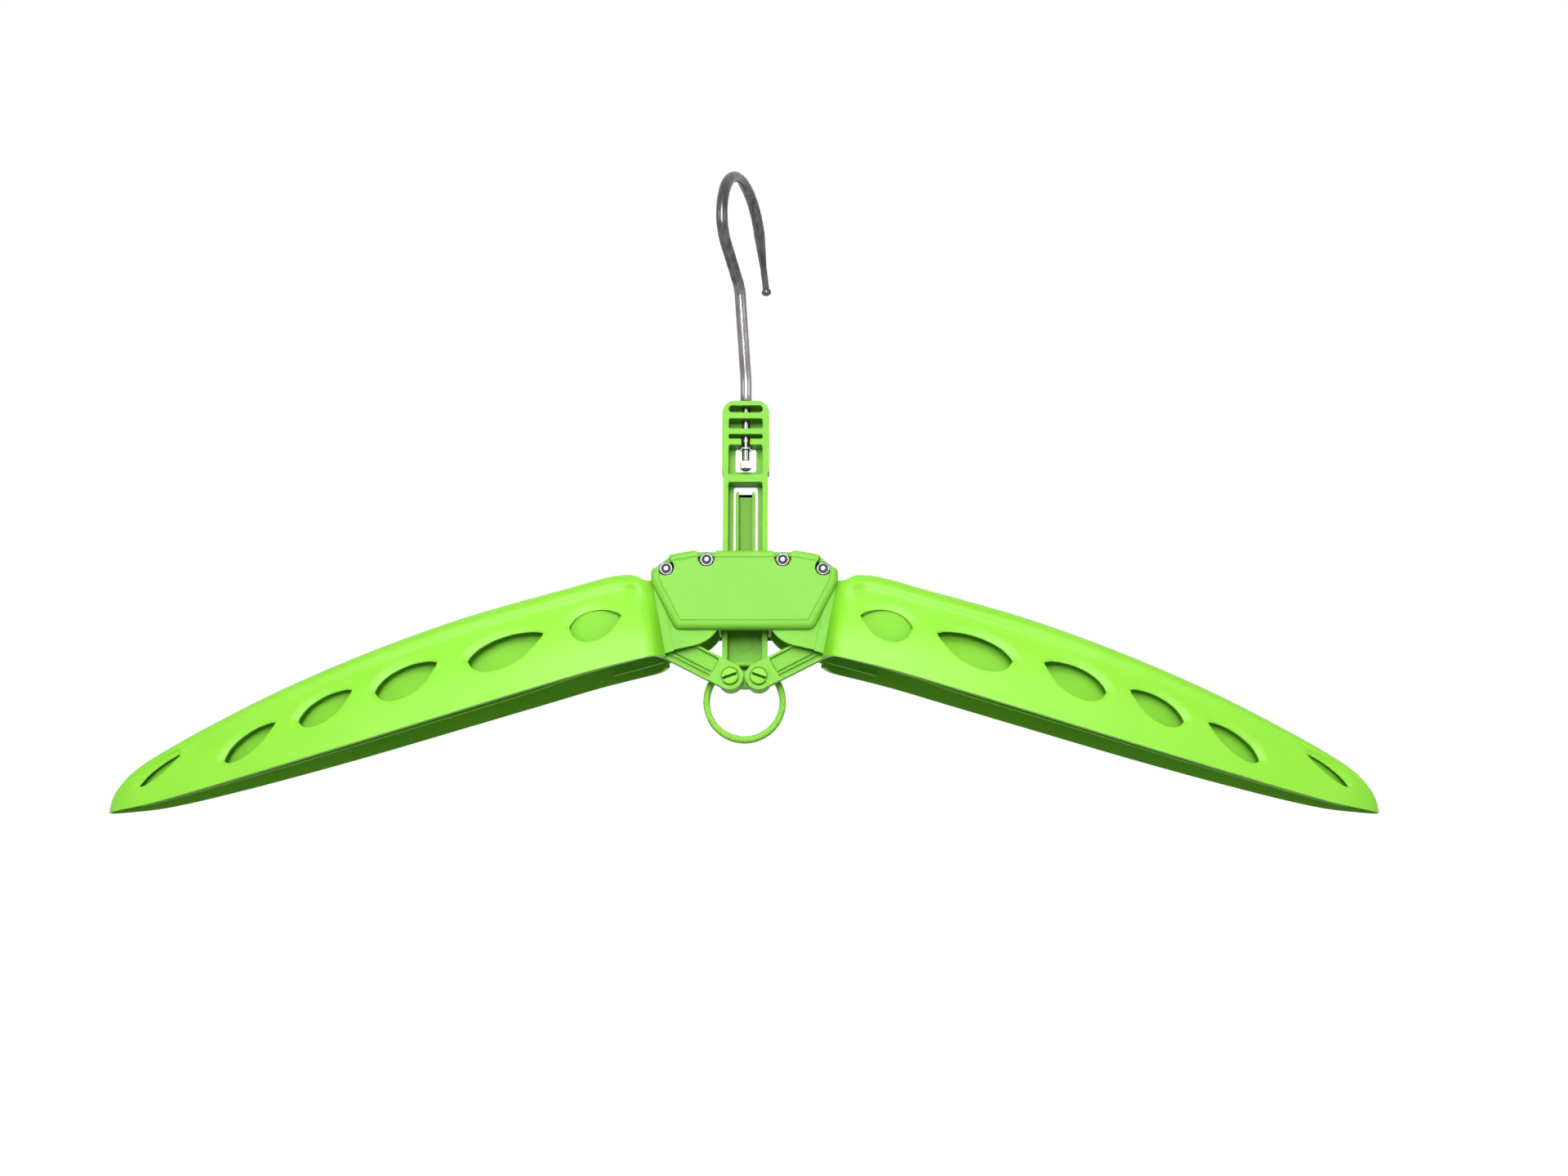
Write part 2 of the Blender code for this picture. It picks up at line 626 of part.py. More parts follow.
def make_slider_bar():
    half = BAR_WIDTH / 2
    head = HEAD_WIDTH / 2
    shoulder = head - half
    bar = eased_prism(mirrored_corners((
        (PLATE_HALF_WIDTH, PLATE_BOTTOM, BAR_CHAMFER * 2),
        (PLATE_HALF_WIDTH, LINK_PIVOT_Z, PLATE_CORNER),
        (half, BAR_FOOT, PLATE_CORNER),
        (half, HEAD_BOTTOM - shoulder, 0.0),
        (head, HEAD_BOTTOM, 0.0),
        (head, BAR_TOP, HEAD_CORNER),
    )), BAR_FRONT, BAR_BACK, BAR_CHAMFER)
    bar = fuse(bar, make_pull_ring())
    front = BAR_FRONT - CUT_OVERRUN
    back = BAR_BACK + CUT_OVERRUN
    channel = CHANNEL_HALF_WIDTH
    pockets = (
        (BAR_TOP - HEAD_TOP_WALL, RIB_1_TOP),
        (RIB_1_TOP - RIB_THICKNESS, RIB_2_TOP),
        (RIB_2_TOP - LOWER_RIB_THICKNESS, RIB_3_TOP),
        (RIB_3_BOTTOM, HEAD_BOTTOM),
        (HEAD_BOTTOM - CROSSBAR_THICKNESS, BAR_FOOT),
    )
    bar = cut(bar, *[box(-channel, channel, front, WEB_FRONT, low, high) for high, low in pockets])
    windows = (
        (NUT_WINDOW_WIDTH / 2, NUT_WINDOW_BOTTOM, NUT_WINDOW_TOP),
        (LATCH_WINDOW_WIDTH / 2, LATCH_WINDOW_BOTTOM, LATCH_WINDOW_TOP),
    )
    corner = BAR_CHAMFER * 2
    for width, low, high in windows:
        outline = rounded_outline(((width, low, corner), (width, high, corner),
                                   (-width, high, corner), (-width, low, corner)))
        bar = cut(bar, prism(outline, WEB_FRONT - CUT_OVERRUN, back))
    bore = STEM_BORE_DIAMETER / 2
    stem_hole = circle(0.0, 0.0, bore, SMALL_ROUND_STEPS)
    bar = cut(bar, upright(stem_hole, RIB_3_BOTTOM - bore, BAR_TOP + CUT_OVERRUN))
    bar = cut(bar, box(-bore, bore, front, 0.0, RIB_3_BOTTOM - bore, RIB_3_TOP + bore / 2))
    for side in (-1, 1):
        radius = LINK_PIN_DIAMETER / 2 + SEAT_GAP
        hole = circle(side * LINK_PIVOT_X, LINK_PIVOT_Z, radius, SMALL_ROUND_STEPS)
        bar = cut(bar, prism(hole, front, back))
    mark = turned(0.0, EJECTOR_LEVEL, (
        (WEB_FRONT - EJECTOR_HEIGHT, EJECTOR_DIAMETER / 2),
        (WEB_FRONT + WEB_THICKNESS / 2, EJECTOR_DIAMETER / 2),
    ))
    return fuse(bar, mark)


def make_latch_tongue():
    half = TONGUE_WIDTH / 2
    root = LATCH_WINDOW_BOTTOM + SEAT_GAP
    tongue = prism(rounded_outline((
        (half, root, 0.0), (half, TONGUE_TIP, TONGUE_CORNER),
        (-half, TONGUE_TIP, TONGUE_CORNER), (-half, root, 0.0),
    )), TONGUE_FRONT, TONGUE_BACK)
    inner = half - TONGUE_SIDE_RIB
    pocket = box(-inner, inner, TONGUE_FRONT - CUT_OVERRUN, TONGUE_BACK - TONGUE_WEB,
                 root + TONGUE_END_WALL, TONGUE_TIP - TONGUE_END_WALL)
    return cut(tongue, pocket)


# Links and pins

def place_along(mesh, x, z, angle):
    """Turn a piece drawn along +X about Y, then move its start to (x, z)."""
    bmesh.ops.rotate(mesh, verts=mesh.verts, cent=(0.0, 0.0, 0.0), matrix=Matrix.Rotation(-angle, 3, "Y"))
    bmesh.ops.translate(mesh, verts=mesh.verts, vec=(x, 0.0, z))
    return mesh


def stadium(length, radius, inset=0.0):
    reach = radius - inset
    return (
        arc_points(length, 0.0, reach, -math.pi / 2, math.pi / 2, ROUND_STEPS // 2)
        + arc_points(0.0, 0.0, reach, math.pi / 2, 3 * math.pi / 2, ROUND_STEPS // 2)
    )


def make_right_link():
    link = loft([
        at_depth(stadium(LINK_LENGTH, LINK_END_RADIUS, LINK_CHAMFER), LINK_FRONT),
        at_depth(stadium(LINK_LENGTH, LINK_END_RADIUS), LINK_FRONT + LINK_CHAMFER),
        at_depth(stadium(LINK_LENGTH, LINK_END_RADIUS), LINK_BACK - LINK_CHAMFER),
        at_depth(stadium(LINK_LENGTH, LINK_END_RADIUS, LINK_CHAMFER), LINK_BACK),
    ])
    half = LINK_END_RADIUS - LINK_RIM
    channel = rectangle(LINK_CHANNEL_START, -half, LINK_LENGTH - LINK_CHANNEL_START, half)
    link = cut(link, prism(channel, LINK_FRONT - CUT_OVERRUN, LINK_FRONT + LINK_CHANNEL_DEPTH))
    for along, radius in (
        (0.0, LINK_PIN_DIAMETER / 2 + RUNNING_GAP),
        (LINK_LENGTH, ARM_PIN_DIAMETER / 2 + ARM_PIN_FLOAT),
    ):
        hole = prism(circle(along, 0.0, radius), LINK_FRONT - CUT_OVERRUN, LINK_BACK + CUT_OVERRUN)
        link = cut(link, hole)
    return place_along(link, LINK_PIVOT_X, LINK_PIVOT_Z, LINK_ANGLE)


def make_link_pin(side):
    shank = LINK_PIN_DIAMETER / 2
    head = LINK_PIN_HEAD_DIAMETER / 2
    lip = LINK_PIN_LIP_DIAMETER / 2
    head_back = LINK_FRONT - SEAT_GAP
    head_front = head_back - LINK_PIN_HEAD_HEIGHT
    lip_front = BAR_BACK + SEAT_GAP
    pin = turned(0.0, 0.0, (
        (head_front, head - EDGE_BREAK), (head_front + EDGE_BREAK, head), (head_back, head),
        (head_back, shank), (lip_front, shank), (lip_front, lip), (lip_front + LINK_PIN_LIP_HEIGHT, shank),
    ), SMALL_ROUND_STEPS)
    half = LINK_PIN_SLOT_WIDTH / 2
    slot = box(-head - CUT_OVERRUN, head + CUT_OVERRUN, head_front - CUT_OVERRUN,
               head_front + LINK_PIN_SLOT_DEPTH, -half, half)
    slot = place_along(slot, 0.0, 0.0, -side * LINK_PIN_SLOT_TILT)
    return place_along(cut(pin, slot), side * LINK_PIVOT_X, LINK_PIVOT_Z, 0.0)


def make_arm_link_pin():
    shank = ARM_PIN_DIAMETER / 2
    head = ARM_PIN_HEAD_DIAMETER / 2
    head_back = -NECK_FRONT - SEAT_GAP
    head_front = head_back - ARM_PIN_HEAD_HEIGHT
    return turned(LINK_TOP_X, LINK_TOP_Z, (
        (head_front, head - EDGE_BREAK), (head_front + EDGE_BREAK, head), (head_back, head),
        (head_back, shank), (NECK_FRONT + SEAT_GAP, shank),
    ), SMALL_ROUND_STEPS)


def make_arm_axle():
    radius = AXLE_DIAMETER / 2
    end = COVER_INNER + AXLE_SOCKET_DEPTH - SEAT_GAP
    return turned(ARM_PIVOT_X, ARM_PIVOT_Z, (
        (-end, radius - EDGE_BREAK), (-end + EDGE_BREAK, radius),
        (end - EDGE_BREAK, radius), (end, radius - EDGE_BREAK),
    ), SMALL_ROUND_STEPS)


# Housing covers

def bolt_places():
    return ((-OUTER_BOLT_X, OUTER_BOLT_Z), (-INNER_BOLT_X, INNER_BOLT_Z),
            (INNER_BOLT_X, INNER_BOLT_Z), (OUTER_BOLT_X, OUTER_BOLT_Z))


def notch_outline(x, z):
    """A round-bottomed notch about a bolt, flaring outwards through the housing's edge."""
    lean = 0.0
    if abs(x) > INNER_BOLT_X:
        lean = OUTER_NOTCH_LEAN if x < 0 else -OUTER_NOTCH_LEAN
    outward = math.pi / 2 + lean
    start = outward + math.pi / 2 - NOTCH_FLARE
    end = outward + 3 * math.pi / 2 + NOTCH_FLARE
    bottom = arc_points(x, z, NOTCH_RADIUS, start, end, SMALL_ROUND_STEPS // 2)
    reach = NOTCH_RADIUS + CUT_OVERRUN
    right = polar(*bottom[-1], reach, outward - NOTCH_FLARE)
    left = polar(*bottom[0], reach, outward + NOTCH_FLARE)
    return bottom + [right, left]


def cover_corners():
    return mirrored_corners((
        (COVER_HALF_WIDTH - COVER_BOTTOM_INSET, COVER_BOTTOM, COVER_CORNER),
        (COVER_HALF_WIDTH, COVER_SIDE_BOTTOM, COVER_CORNER),
        (COVER_HALF_WIDTH, COVER_SIDE_TOP, COVER_CORNER),
        (COVER_SHOULDER_X, COVER_SHOULDER_Z, COVER_CORNER),
        (COVER_CREST_X, COVER_TOP, COVER_CREST_CORNER),
    ))


def make_front_cover():
    corners = cover_corners()
    rings = [at_depth(rounded_outline(corners), -SPLIT_FACE)]
    for step in range(FILLET_STEPS + 1):
        angle = math.pi / 2 * step / FILLET_STEPS
        inset = COVER_FILLET * (1 - math.cos(angle))
        depth = COVER_DEPTH - COVER_FILLET * (1 - math.sin(angle))
        rings.append(at_depth(rounded_outline(corners, inset), -depth))
    groove = COVER_FILLET + BORDER_GROOVE_WIDTH / 2
    rings.append(at_depth(rounded_outline(corners, groove), BORDER_GROOVE_DEPTH - COVER_DEPTH))
    rings.append(at_depth(rounded_outline(corners, COVER_FILLET + BORDER_GROOVE_WIDTH), -COVER_DEPTH))
    cover = loft(rings)
    side = COVER_HALF_WIDTH - COVER_RIM
    beyond = COVER_HALF_WIDTH + CUT_OVERRUN
    mouth = NECK_TOP + SWING_GAP * 3
    cavity = [
        (beyond, COVER_BOTTOM - CUT_OVERRUN, 0.0), (beyond, mouth, 0.0), (side, mouth, 0.0),
        (side, COVER_SIDE_TOP - COVER_RIM / 2, 0.0),
        (COVER_SHOULDER_X - COVER_RIM / 2, COVER_SHOULDER_Z - COVER_RIM, 0.0),
        (COVER_CREST_X, COVER_TOP - COVER_RIM, 0.0),
    ]
    cover = cut(cover, prism(rounded_outline(mirrored_corners(cavity)), -COVER_INNER, CUT_OVERRUN))
    notch_bottom = -NUT_SEAT_DEPTH
    for x, z in bolt_places():
        cover = cut(cover, prism(notch_outline(x, z), -COVER_DEPTH - CUT_OVERRUN, notch_bottom))
        boss = turned(x, z, ((notch_bottom, BOSS_RADIUS), (-SPLIT_FACE, BOSS_RADIUS)), SMALL_ROUND_STEPS)
        cover = fuse(cover, boss)
        hole = circle(x, z, BOLT_DIAMETER / 2 + RUNNING_GAP, SMALL_ROUND_STEPS)
        cover = cut(cover, prism(hole, notch_bottom - CUT_OVERRUN, CUT_OVERRUN))
    slide = BAR_WIDTH / 2 + SLIDE_GAP
    slot = box(-slide, slide, BAR_FRONT - SLIDE_GAP, CUT_OVERRUN,
               COVER_TOP - COVER_RIM - CUT_OVERRUN, COVER_TOP + CUT_OVERRUN)
    cover = cut(cover, slot)
    cheek = slide + GUIDE_CHEEK
    guide_top = COVER_BOTTOM + COVER_WALL + GUIDE_HEIGHT
    guide_bottom = COVER_BOTTOM + COVER_WALL / 4
    guide_front = -NECK_BACK + SWING_GAP
    cover = fuse(cover, box(-GUIDE_STEM_HALF_WIDTH, GUIDE_STEM_HALF_WIDTH, -COVER_INNER - COVER_WALL / 2,
                            guide_front + GUIDE_CHEEK / 2, guide_bottom, guide_top))
    cover = fuse(cover, box(-cheek, cheek, guide_front, -SPLIT_FACE,
                            guide_bottom + EDGE_BREAK, guide_top - EDGE_BREAK))
    cover = cut(cover, box(-slide, slide, BAR_FRONT - SLIDE_GAP, CUT_OVERRUN,
                           guide_bottom - CUT_OVERRUN, guide_top + CUT_OVERRUN))
    for side in (-1, 1):
        socket = circle(side * ARM_PIVOT_X, ARM_PIVOT_Z, AXLE_DIAMETER / 2 + RUNNING_GAP)
        cover = cut(cover, prism(socket, -COVER_INNER - AXLE_SOCKET_DEPTH, -COVER_INNER + CUT_OVERRUN))
    return cover


# Fasteners

def make_cover_bolt(x, z):
    shank = BOLT_DIAMETER / 2
    head = BOLT_HEAD_DIAMETER / 2
    seat = NUT_SEAT_DEPTH + RUNNING_GAP
    top = seat + BOLT_HEAD_HEIGHT
    end = -(seat + NUT_HEIGHT + BOLT_PROUD)
    bolt = turned(x, z, (
        (end, shank - EDGE_BREAK), (end + EDGE_BREAK, shank), (seat, shank), (seat, head),
        (top - EDGE_BREAK * 2, head), (top, head - EDGE_BREAK * 2),
    ), SMALL_ROUND_STEPS)
    socket = prism(hexagon(x, z, BOLT_SOCKET_FLATS), top - BOLT_SOCKET_DEPTH, top + CUT_OVERRUN)
    return cut(bolt, socket)


def make_cover_nut(x, z):
    back = -(NUT_SEAT_DEPTH + RUNNING_GAP)
    front = back - NUT_HEIGHT
    turn = math.pi / 6
    nut = loft([
        at_depth(hexagon(x, z, NUT_FLATS - EDGE_BREAK, turn), front),
        at_depth(hexagon(x, z, NUT_FLATS, turn), front + EDGE_BREAK),
        at_depth(hexagon(x, z, NUT_FLATS, turn), back - EDGE_BREAK),
        at_depth(hexagon(x, z, NUT_FLATS - EDGE_BREAK, turn), back),
    ])
    bore = circle(x, z, BOLT_DIAMETER / 2 + SEAT_GAP, SMALL_ROUND_STEPS)
    return cut(nut, prism(bore, front - CUT_OVERRUN, back + CUT_OVERRUN))


# Arms, drawn for the right-hand side

def arm_top(distance):
    return ARM_DROP * smooth_at(ARM_TOP_SHARES, distance / ARM_LENGTH)


def arm_bottom(distance):
    return ARM_DROP * smooth_at(ARM_BOTTOM_SHARES, distance / ARM_LENGTH)


def arm_half_depth(distance):
    return ARM_HALF_DEPTH * smooth_at(ARM_DEPTH_SHARES, distance / ARM_LENGTH)


def wall_share(distance, height_share):
    """Half depth at a height on the section, as a share: boxy at the arm's root, waisted further out."""
    t = min(max(distance / ARM_BOX_REACH, 0.0), 1.0)
    blend = t * t * (3 - 2 * t)
    return (1 - blend) * smooth_at(BOX_SHARES, height_share) + blend * smooth_at(WALL_SHARES, height_share)


def arm_surface(x, z):
    """Half depth of the outer surface at a point of the front view, beyond the sloping step."""
    distance = x - ARM_ROOT_X
    top = arm_top(distance)
    share = min(max((top - z) / (top - arm_bottom(distance)), 0.0), 1.0)
    return arm_half_depth(distance) * wall_share(distance, share)


def half_section(distance):
    """Outer (half depth, height) points of one section, from the crown down to the rim."""
    inside = max(distance, 0.0)
    top = arm_top(inside)
    height = top - arm_bottom(inside)
    half = arm_half_depth(inside)
    return [(half * wall_share(inside, share), top - height * share) for share, _ in WALL_SHARES]


def offset_section(points, wall):
    """The same section moved inwards by the wall thickness, and run on below the rim."""
    moved = []
    last = len(points) - 1
    for i, (y, z) in enumerate(points):
        if i == 0:
            moved.append((0.0, z - wall))
            continue
        before = Vector(points[i - 1])
        after = Vector(points[min(i + 1, last)])
        along = (after - before).normalized()
        moved.append((max(y + along.y * wall, 0.0), z - along.x * wall))
    moved.append((moved[-1][0], moved[-1][1] - CUT_OVERRUN))
    return moved


def section_ring(distance, points):
    """Both halves of a section, set at a distance along the arm; near the root it slopes inwards below."""
    top = points[0][1]
    height = top - points[-1][1]
    fade = min(max(1 - distance / ARM_STEP_REACH, 0.0), 1.0)
    lean = ARM_STEP_LEAN * (fade * fade if distance > 0 else 1.0)
    x = ARM_ROOT_X + distance
    front = [(x - lean * (top - z) / height, -y, z) for y, z in reversed(points)]
    back = [(x - lean * (top - z) / height, y, z) for y, z in points[1:]]
    return front + back


def make_arm_shell():
    outer = []
    inner = [section_ring(-ARM_STEP_LEAN - CUT_OVERRUN, offset_section(half_section(0.0), ARM_WALL))]
    for share in STATION_SHARES:
        distance = share * ARM_LENGTH
        points = half_section(distance)
        outer.append(section_ring(distance, points))
        if arm_half_depth(distance) > ARM_NOSE_STOP:
            inner.append(section_ring(distance, offset_section(points, ARM_WALL)))
    return cut(loft(outer), loft(inner))


def neck_outline():
    top_angle = math.asin((NECK_TOP - NECK_ARC_Z) / NECK_RADIUS)
    arc = arc_points(NECK_ARC_X, NECK_ARC_Z, NECK_RADIUS, top_angle, NECK_FOOT_ANGLE, ROUND_STEPS // 2)
    return arc + [
        (ARM_ROOT_X - NECK_FOOT_INSET, NECK_FOOT_Z),
        (ARM_ROOT_X, arm_bottom(0.0) + NECK_ROOT_RISE / 2),
        (NECK_ROOT_X, arm_bottom(NECK_ROOT_X - ARM_ROOT_X) + NECK_ROOT_RISE),
        (NECK_ROOT_X, NECK_TOP),
    ]


def make_arm_panel():
    """A thin upright wall inside the arm, which closes the view through the openings."""
    rings = []
    for along_share, depth_share, drop_share in PANEL_SHARES:
        distance = along_share * ARM_LENGTH
        x = ARM_ROOT_X + distance
        front = -depth_share * ARM_HALF_DEPTH
        back = front + PANEL_THICKNESS
        top = arm_top(distance) - drop_share * ARM_DROP
        bottom = arm_bottom(distance) + PANEL_RISE
        rings.append([(x, front, bottom), (x, back, bottom), (x, back, top), (x, front, top)])
    return loft(rings)


def leaf_outline(middle, chord, upper, lower, tilt):
    """A leaf: a flat arc above and a deeper one below, meeting at two ends."""
    points = []
    for step in range(LEAF_STEPS):
        along = step / LEAF_STEPS
        points.append(((along - 1 / 2) * chord, -lower * math.sqrt(1 - (2 * along - 1) ** 2)))
    for step in range(LEAF_STEPS):
        along = 1 - step / LEAF_STEPS
        points.append(((along - 1 / 2) * chord, upper * (1 - (2 * along - 1) ** 2)))
    turn = Matrix.Rotation(tilt, 2)
    return [tuple(middle + turn @ Vector(point)) for point in points]


def make_opening_cutter(along_share, level_share, chord_share, upper_share, lower_share, tilt_degrees):
    """A leaf cut square through the wall, with a lip dished into its upper outer edge."""
    middle = Vector((ARM_ROOT_X + along_share * ARM_LENGTH, level_share * ARM_DROP))
    chord = chord_share * ARM_LENGTH
    tilt = math.radians(tilt_degrees)
    leaf = leaf_outline(middle, chord, upper_share * chord, lower_share * chord, tilt)
    shift = Vector((math.cos(tilt + LIP_LEAN), math.sin(tilt + LIP_LEAN)))
    lip = []
    floor = []
    inside = []
    for x, z in leaf:
        away = (Vector((x, z)) - middle).normalized()
        rim = Vector((x, z)) + shift * (LIP_WIDTH * max(away.dot(shift), 0.0))
        beyond = rim + (rim - Vector((x, z))) / 2
        lip.append((beyond.x, -arm_surface(rim.x, rim.y) - LIP_DEPTH / 2, beyond.y))
        floor.append((x, LIP_DEPTH - arm_surface(x, z), z))
        inside.append((x, ARM_WALL * 2 - arm_surface(x, z), z))
    return loft([lip, floor, inside])


def make_right_arm():
    arm = make_arm_shell()
    for side in (-1, 1):
        near, far = sorted((side * NECK_BACK, side * NECK_FRONT))
        arm = fuse(arm, prism(neck_outline(), near, far))
    web = box(ARM_ROOT_X - NECK_WEB_INSET, ARM_ROOT_X + NECK_WEB_THICKNESS * 2, -NECK_BACK - NECK_PLATE / 2,
              NECK_BACK + NECK_PLATE / 2, NECK_TOP - NECK_WEB_THICKNESS, NECK_TOP - EDGE_BREAK)
    arm = fuse(arm, web)
    for row in OPENING_SHARES:
        arm = cut(arm, make_opening_cutter(*row))
    arm = fuse(arm, make_arm_panel())
    reach = NECK_FRONT + SWING_GAP
    arm = cut(arm, prism(circle(ARM_PIVOT_X, ARM_PIVOT_Z, AXLE_DIAMETER / 2 + RUNNING_GAP), -reach, reach))
    pin_hole = circle(LINK_TOP_X, LINK_TOP_Z, ARM_PIN_DIAMETER / 2 + SEAT_GAP, SMALL_ROUND_STEPS)
    arm = cut(arm, prism(pin_hole, -reach, reach))
    drain = circle(ARM_ROOT_X + DRAIN_HOLE_REACH, arm_bottom(DRAIN_HOLE_REACH) + DRAIN_HOLE_RISE,
                   DRAIN_HOLE_DIAMETER / 2, SMALL_ROUND_STEPS)
    return cut(arm, prism(drain, ARM_HALF_DEPTH / 4, ARM_HALF_DEPTH + CUT_OVERRUN))


def main():
    for thing in list(bpy.data.objects):
        bpy.data.objects.remove(thing, do_unlink=True)
    datum = add_pivot("hanger", None, 0.0, 0.0, 0.0)
    datum["empty"].location = (0.0, 0.0, -saddle_height())
    swivel = add_pivot("hook_pivot", datum, 0.0, 0.0, BAR_TOP)
    slider = add_pivot("slider_body", datum, 0.0, 0.0, 0.0)
    housing = add_pivot("housing_body", slider, 0.0, 0.0, 0.0)
    latch_y = (WEB_FRONT + BAR_BACK) / 2
    latch = add_pivot("latch_pivot", slider, 0.0, latch_y, LATCH_WINDOW_BOTTOM + SEAT_GAP)

    add_piece("hook", make_hook(), swivel, steel("hook", ROD_ROUGHNESS))
    add_piece("hook_washer", make_hook_washer(), swivel, steel("hook_washer"))
    add_piece("hook_nut", make_hook_nut(), swivel, steel("hook_nut"))
    add_piece("slider_bar", make_slider_bar(), slider, plastic("slider_bar"))
    add_piece("latch_tongue", make_latch_tongue(), latch, plastic("latch_tongue"))

    for side, name in ((1, "right"), (-1, "left")):
        link_pivot = add_pivot(name + "_link_pivot", slider, side * LINK_PIVOT_X, 0.0, LINK_PIVOT_Z)
        arm_pivot = add_pivot(name + "_arm_pivot", housing, side * ARM_PIVOT_X, 0.0, ARM_PIVOT_Z)
        pieces = [make_right_link(), make_arm_link_pin(), make_arm_axle(), make_right_arm()]
        if side < 0:
            pieces = [mirror_mesh(piece, "X") for piece in pieces]
        link, arm_pin, axle, arm = pieces
        link_pin = make_link_pin(side)
        add_piece(name + "_link", link, link_pivot, plastic(name + "_link"))
        add_piece(name + "_link_pin", link_pin, slider, plastic(name + "_link_pin"))
        add_piece(name + "_arm", arm, arm_pivot, plastic(name + "_arm"))
        add_piece(name + "_arm_link_pin", arm_pin, arm_pivot, steel(name + "_arm_link_pin"))
        add_piece(name + "_arm_axle", axle, housing, plastic(name + "_arm_axle"))

    add_piece("front_cover", make_front_cover(), housing, plastic("front_cover"))
    add_piece("rear_cover", mirror_mesh(make_front_cover(), "Y"), housing, plastic("rear_cover"))
    for number, (x, z) in enumerate(bolt_places(), start=1):
        bolt = f"cover_bolt_{number}"
        nut = f"cover_nut_{number}"
        add_piece(bolt, make_cover_bolt(x, z), housing, steel(bolt))
        add_piece(nut, make_cover_nut(x, z), housing, steel(nut))
    bpy.context.view_layer.update()


main()
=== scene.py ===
import json
import math

import bmesh
import bpy
import numpy as np
from mathutils import Matrix, Vector
from mathutils.geometry import delaunay_2d_cdt

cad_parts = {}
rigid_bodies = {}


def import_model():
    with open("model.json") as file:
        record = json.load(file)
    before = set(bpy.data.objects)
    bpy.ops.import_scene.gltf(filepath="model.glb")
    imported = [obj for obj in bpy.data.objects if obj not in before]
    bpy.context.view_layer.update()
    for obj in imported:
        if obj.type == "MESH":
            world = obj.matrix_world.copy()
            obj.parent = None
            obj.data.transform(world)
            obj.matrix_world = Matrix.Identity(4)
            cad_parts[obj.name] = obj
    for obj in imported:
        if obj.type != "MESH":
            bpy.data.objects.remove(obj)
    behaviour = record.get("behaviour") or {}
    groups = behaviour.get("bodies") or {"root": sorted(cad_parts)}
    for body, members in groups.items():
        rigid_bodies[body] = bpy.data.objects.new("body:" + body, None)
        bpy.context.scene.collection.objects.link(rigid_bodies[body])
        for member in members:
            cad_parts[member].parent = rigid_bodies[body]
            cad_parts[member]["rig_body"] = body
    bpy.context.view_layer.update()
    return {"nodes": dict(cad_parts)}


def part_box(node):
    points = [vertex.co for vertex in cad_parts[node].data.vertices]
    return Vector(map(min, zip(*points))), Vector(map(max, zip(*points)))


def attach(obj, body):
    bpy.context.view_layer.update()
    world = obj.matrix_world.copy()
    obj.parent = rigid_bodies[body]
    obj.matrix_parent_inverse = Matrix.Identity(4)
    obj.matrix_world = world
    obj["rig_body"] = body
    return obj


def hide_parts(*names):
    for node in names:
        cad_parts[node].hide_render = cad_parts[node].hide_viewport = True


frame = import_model()
housingRise = 0.0611  # from the bottom of the pull ring to the level in the housing where heights start
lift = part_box("slider_bar")[0].z + housingRise
past = 0.004  # how far a cutter runs past the face that it opens
clear = 0.02  # a depth outside every piece but the arms
print("frame loaded, housing level at", round(lift, 5))


def around(cx, cz, radius, angle):
    return (cx + radius * math.cos(angle), cz + radius * math.sin(angle))


def arcPoints(cx, cz, radius, start, end, steps):
    return [around(cx, cz, radius, start + (end - start) * i / steps) for i in range(steps + 1)]


def circlePoints(cx, cz, radius, steps):
    return arcPoints(cx, cz, radius, 0, 2 * math.pi, steps)[:-1]


def quarterAngles(steps):
    return [math.pi / 2 * i / steps for i in range(steps + 1)]


def hexPoints(cx, cz, flats, turn=0.0):
    return [around(cx, cz, flats / math.sqrt(3), turn + i * math.pi / 3) for i in range(6)]


def rectPoints(x0, z0, x1, z1):
    return [(x0, z0), (x1, z0), (x1, z1), (x0, z1)]


def mirrorCorners(half):
    return list(half) + [(-x, z, r) for x, z, r in reversed(half)]


def roundCorners(corners, inset=0.0, steps=8):
    # an anticlockwise outline whose corners have a radius each; the inset draws it in
    points = []
    count = len(corners)
    for i, (x, z, radius) in enumerate(corners):
        here = Vector((x, z))
        into = (here - Vector(corners[i - 1][:2])).normalized()
        out = (Vector(corners[(i + 1) % count][:2]) - here).normalized()
        normalIn = Vector((-into.y, into.x))
        normalOut = Vector((-out.y, out.x))
        here = here + (normalIn + normalOut) * (inset / (1 + normalIn.dot(normalOut)))
        if radius == 0:
            points.append((here.x, here.y))
            continue
        turn = math.atan2(into.x * out.y - into.y * out.x, into.dot(out))
        reach = max(radius - inset, 0.0001) if turn > 0 else radius + inset
        start = here - into * (reach * math.tan(abs(turn) / 2))
        centre = start + normalIn * (reach * (1 if turn > 0 else -1))
        arm = start - centre
        for step in range(steps + 1):
            spun = Matrix.Rotation(turn * step / steps, 2) @ arm
            points.append((centre.x + spun.x, centre.y + spun.y))
    return points


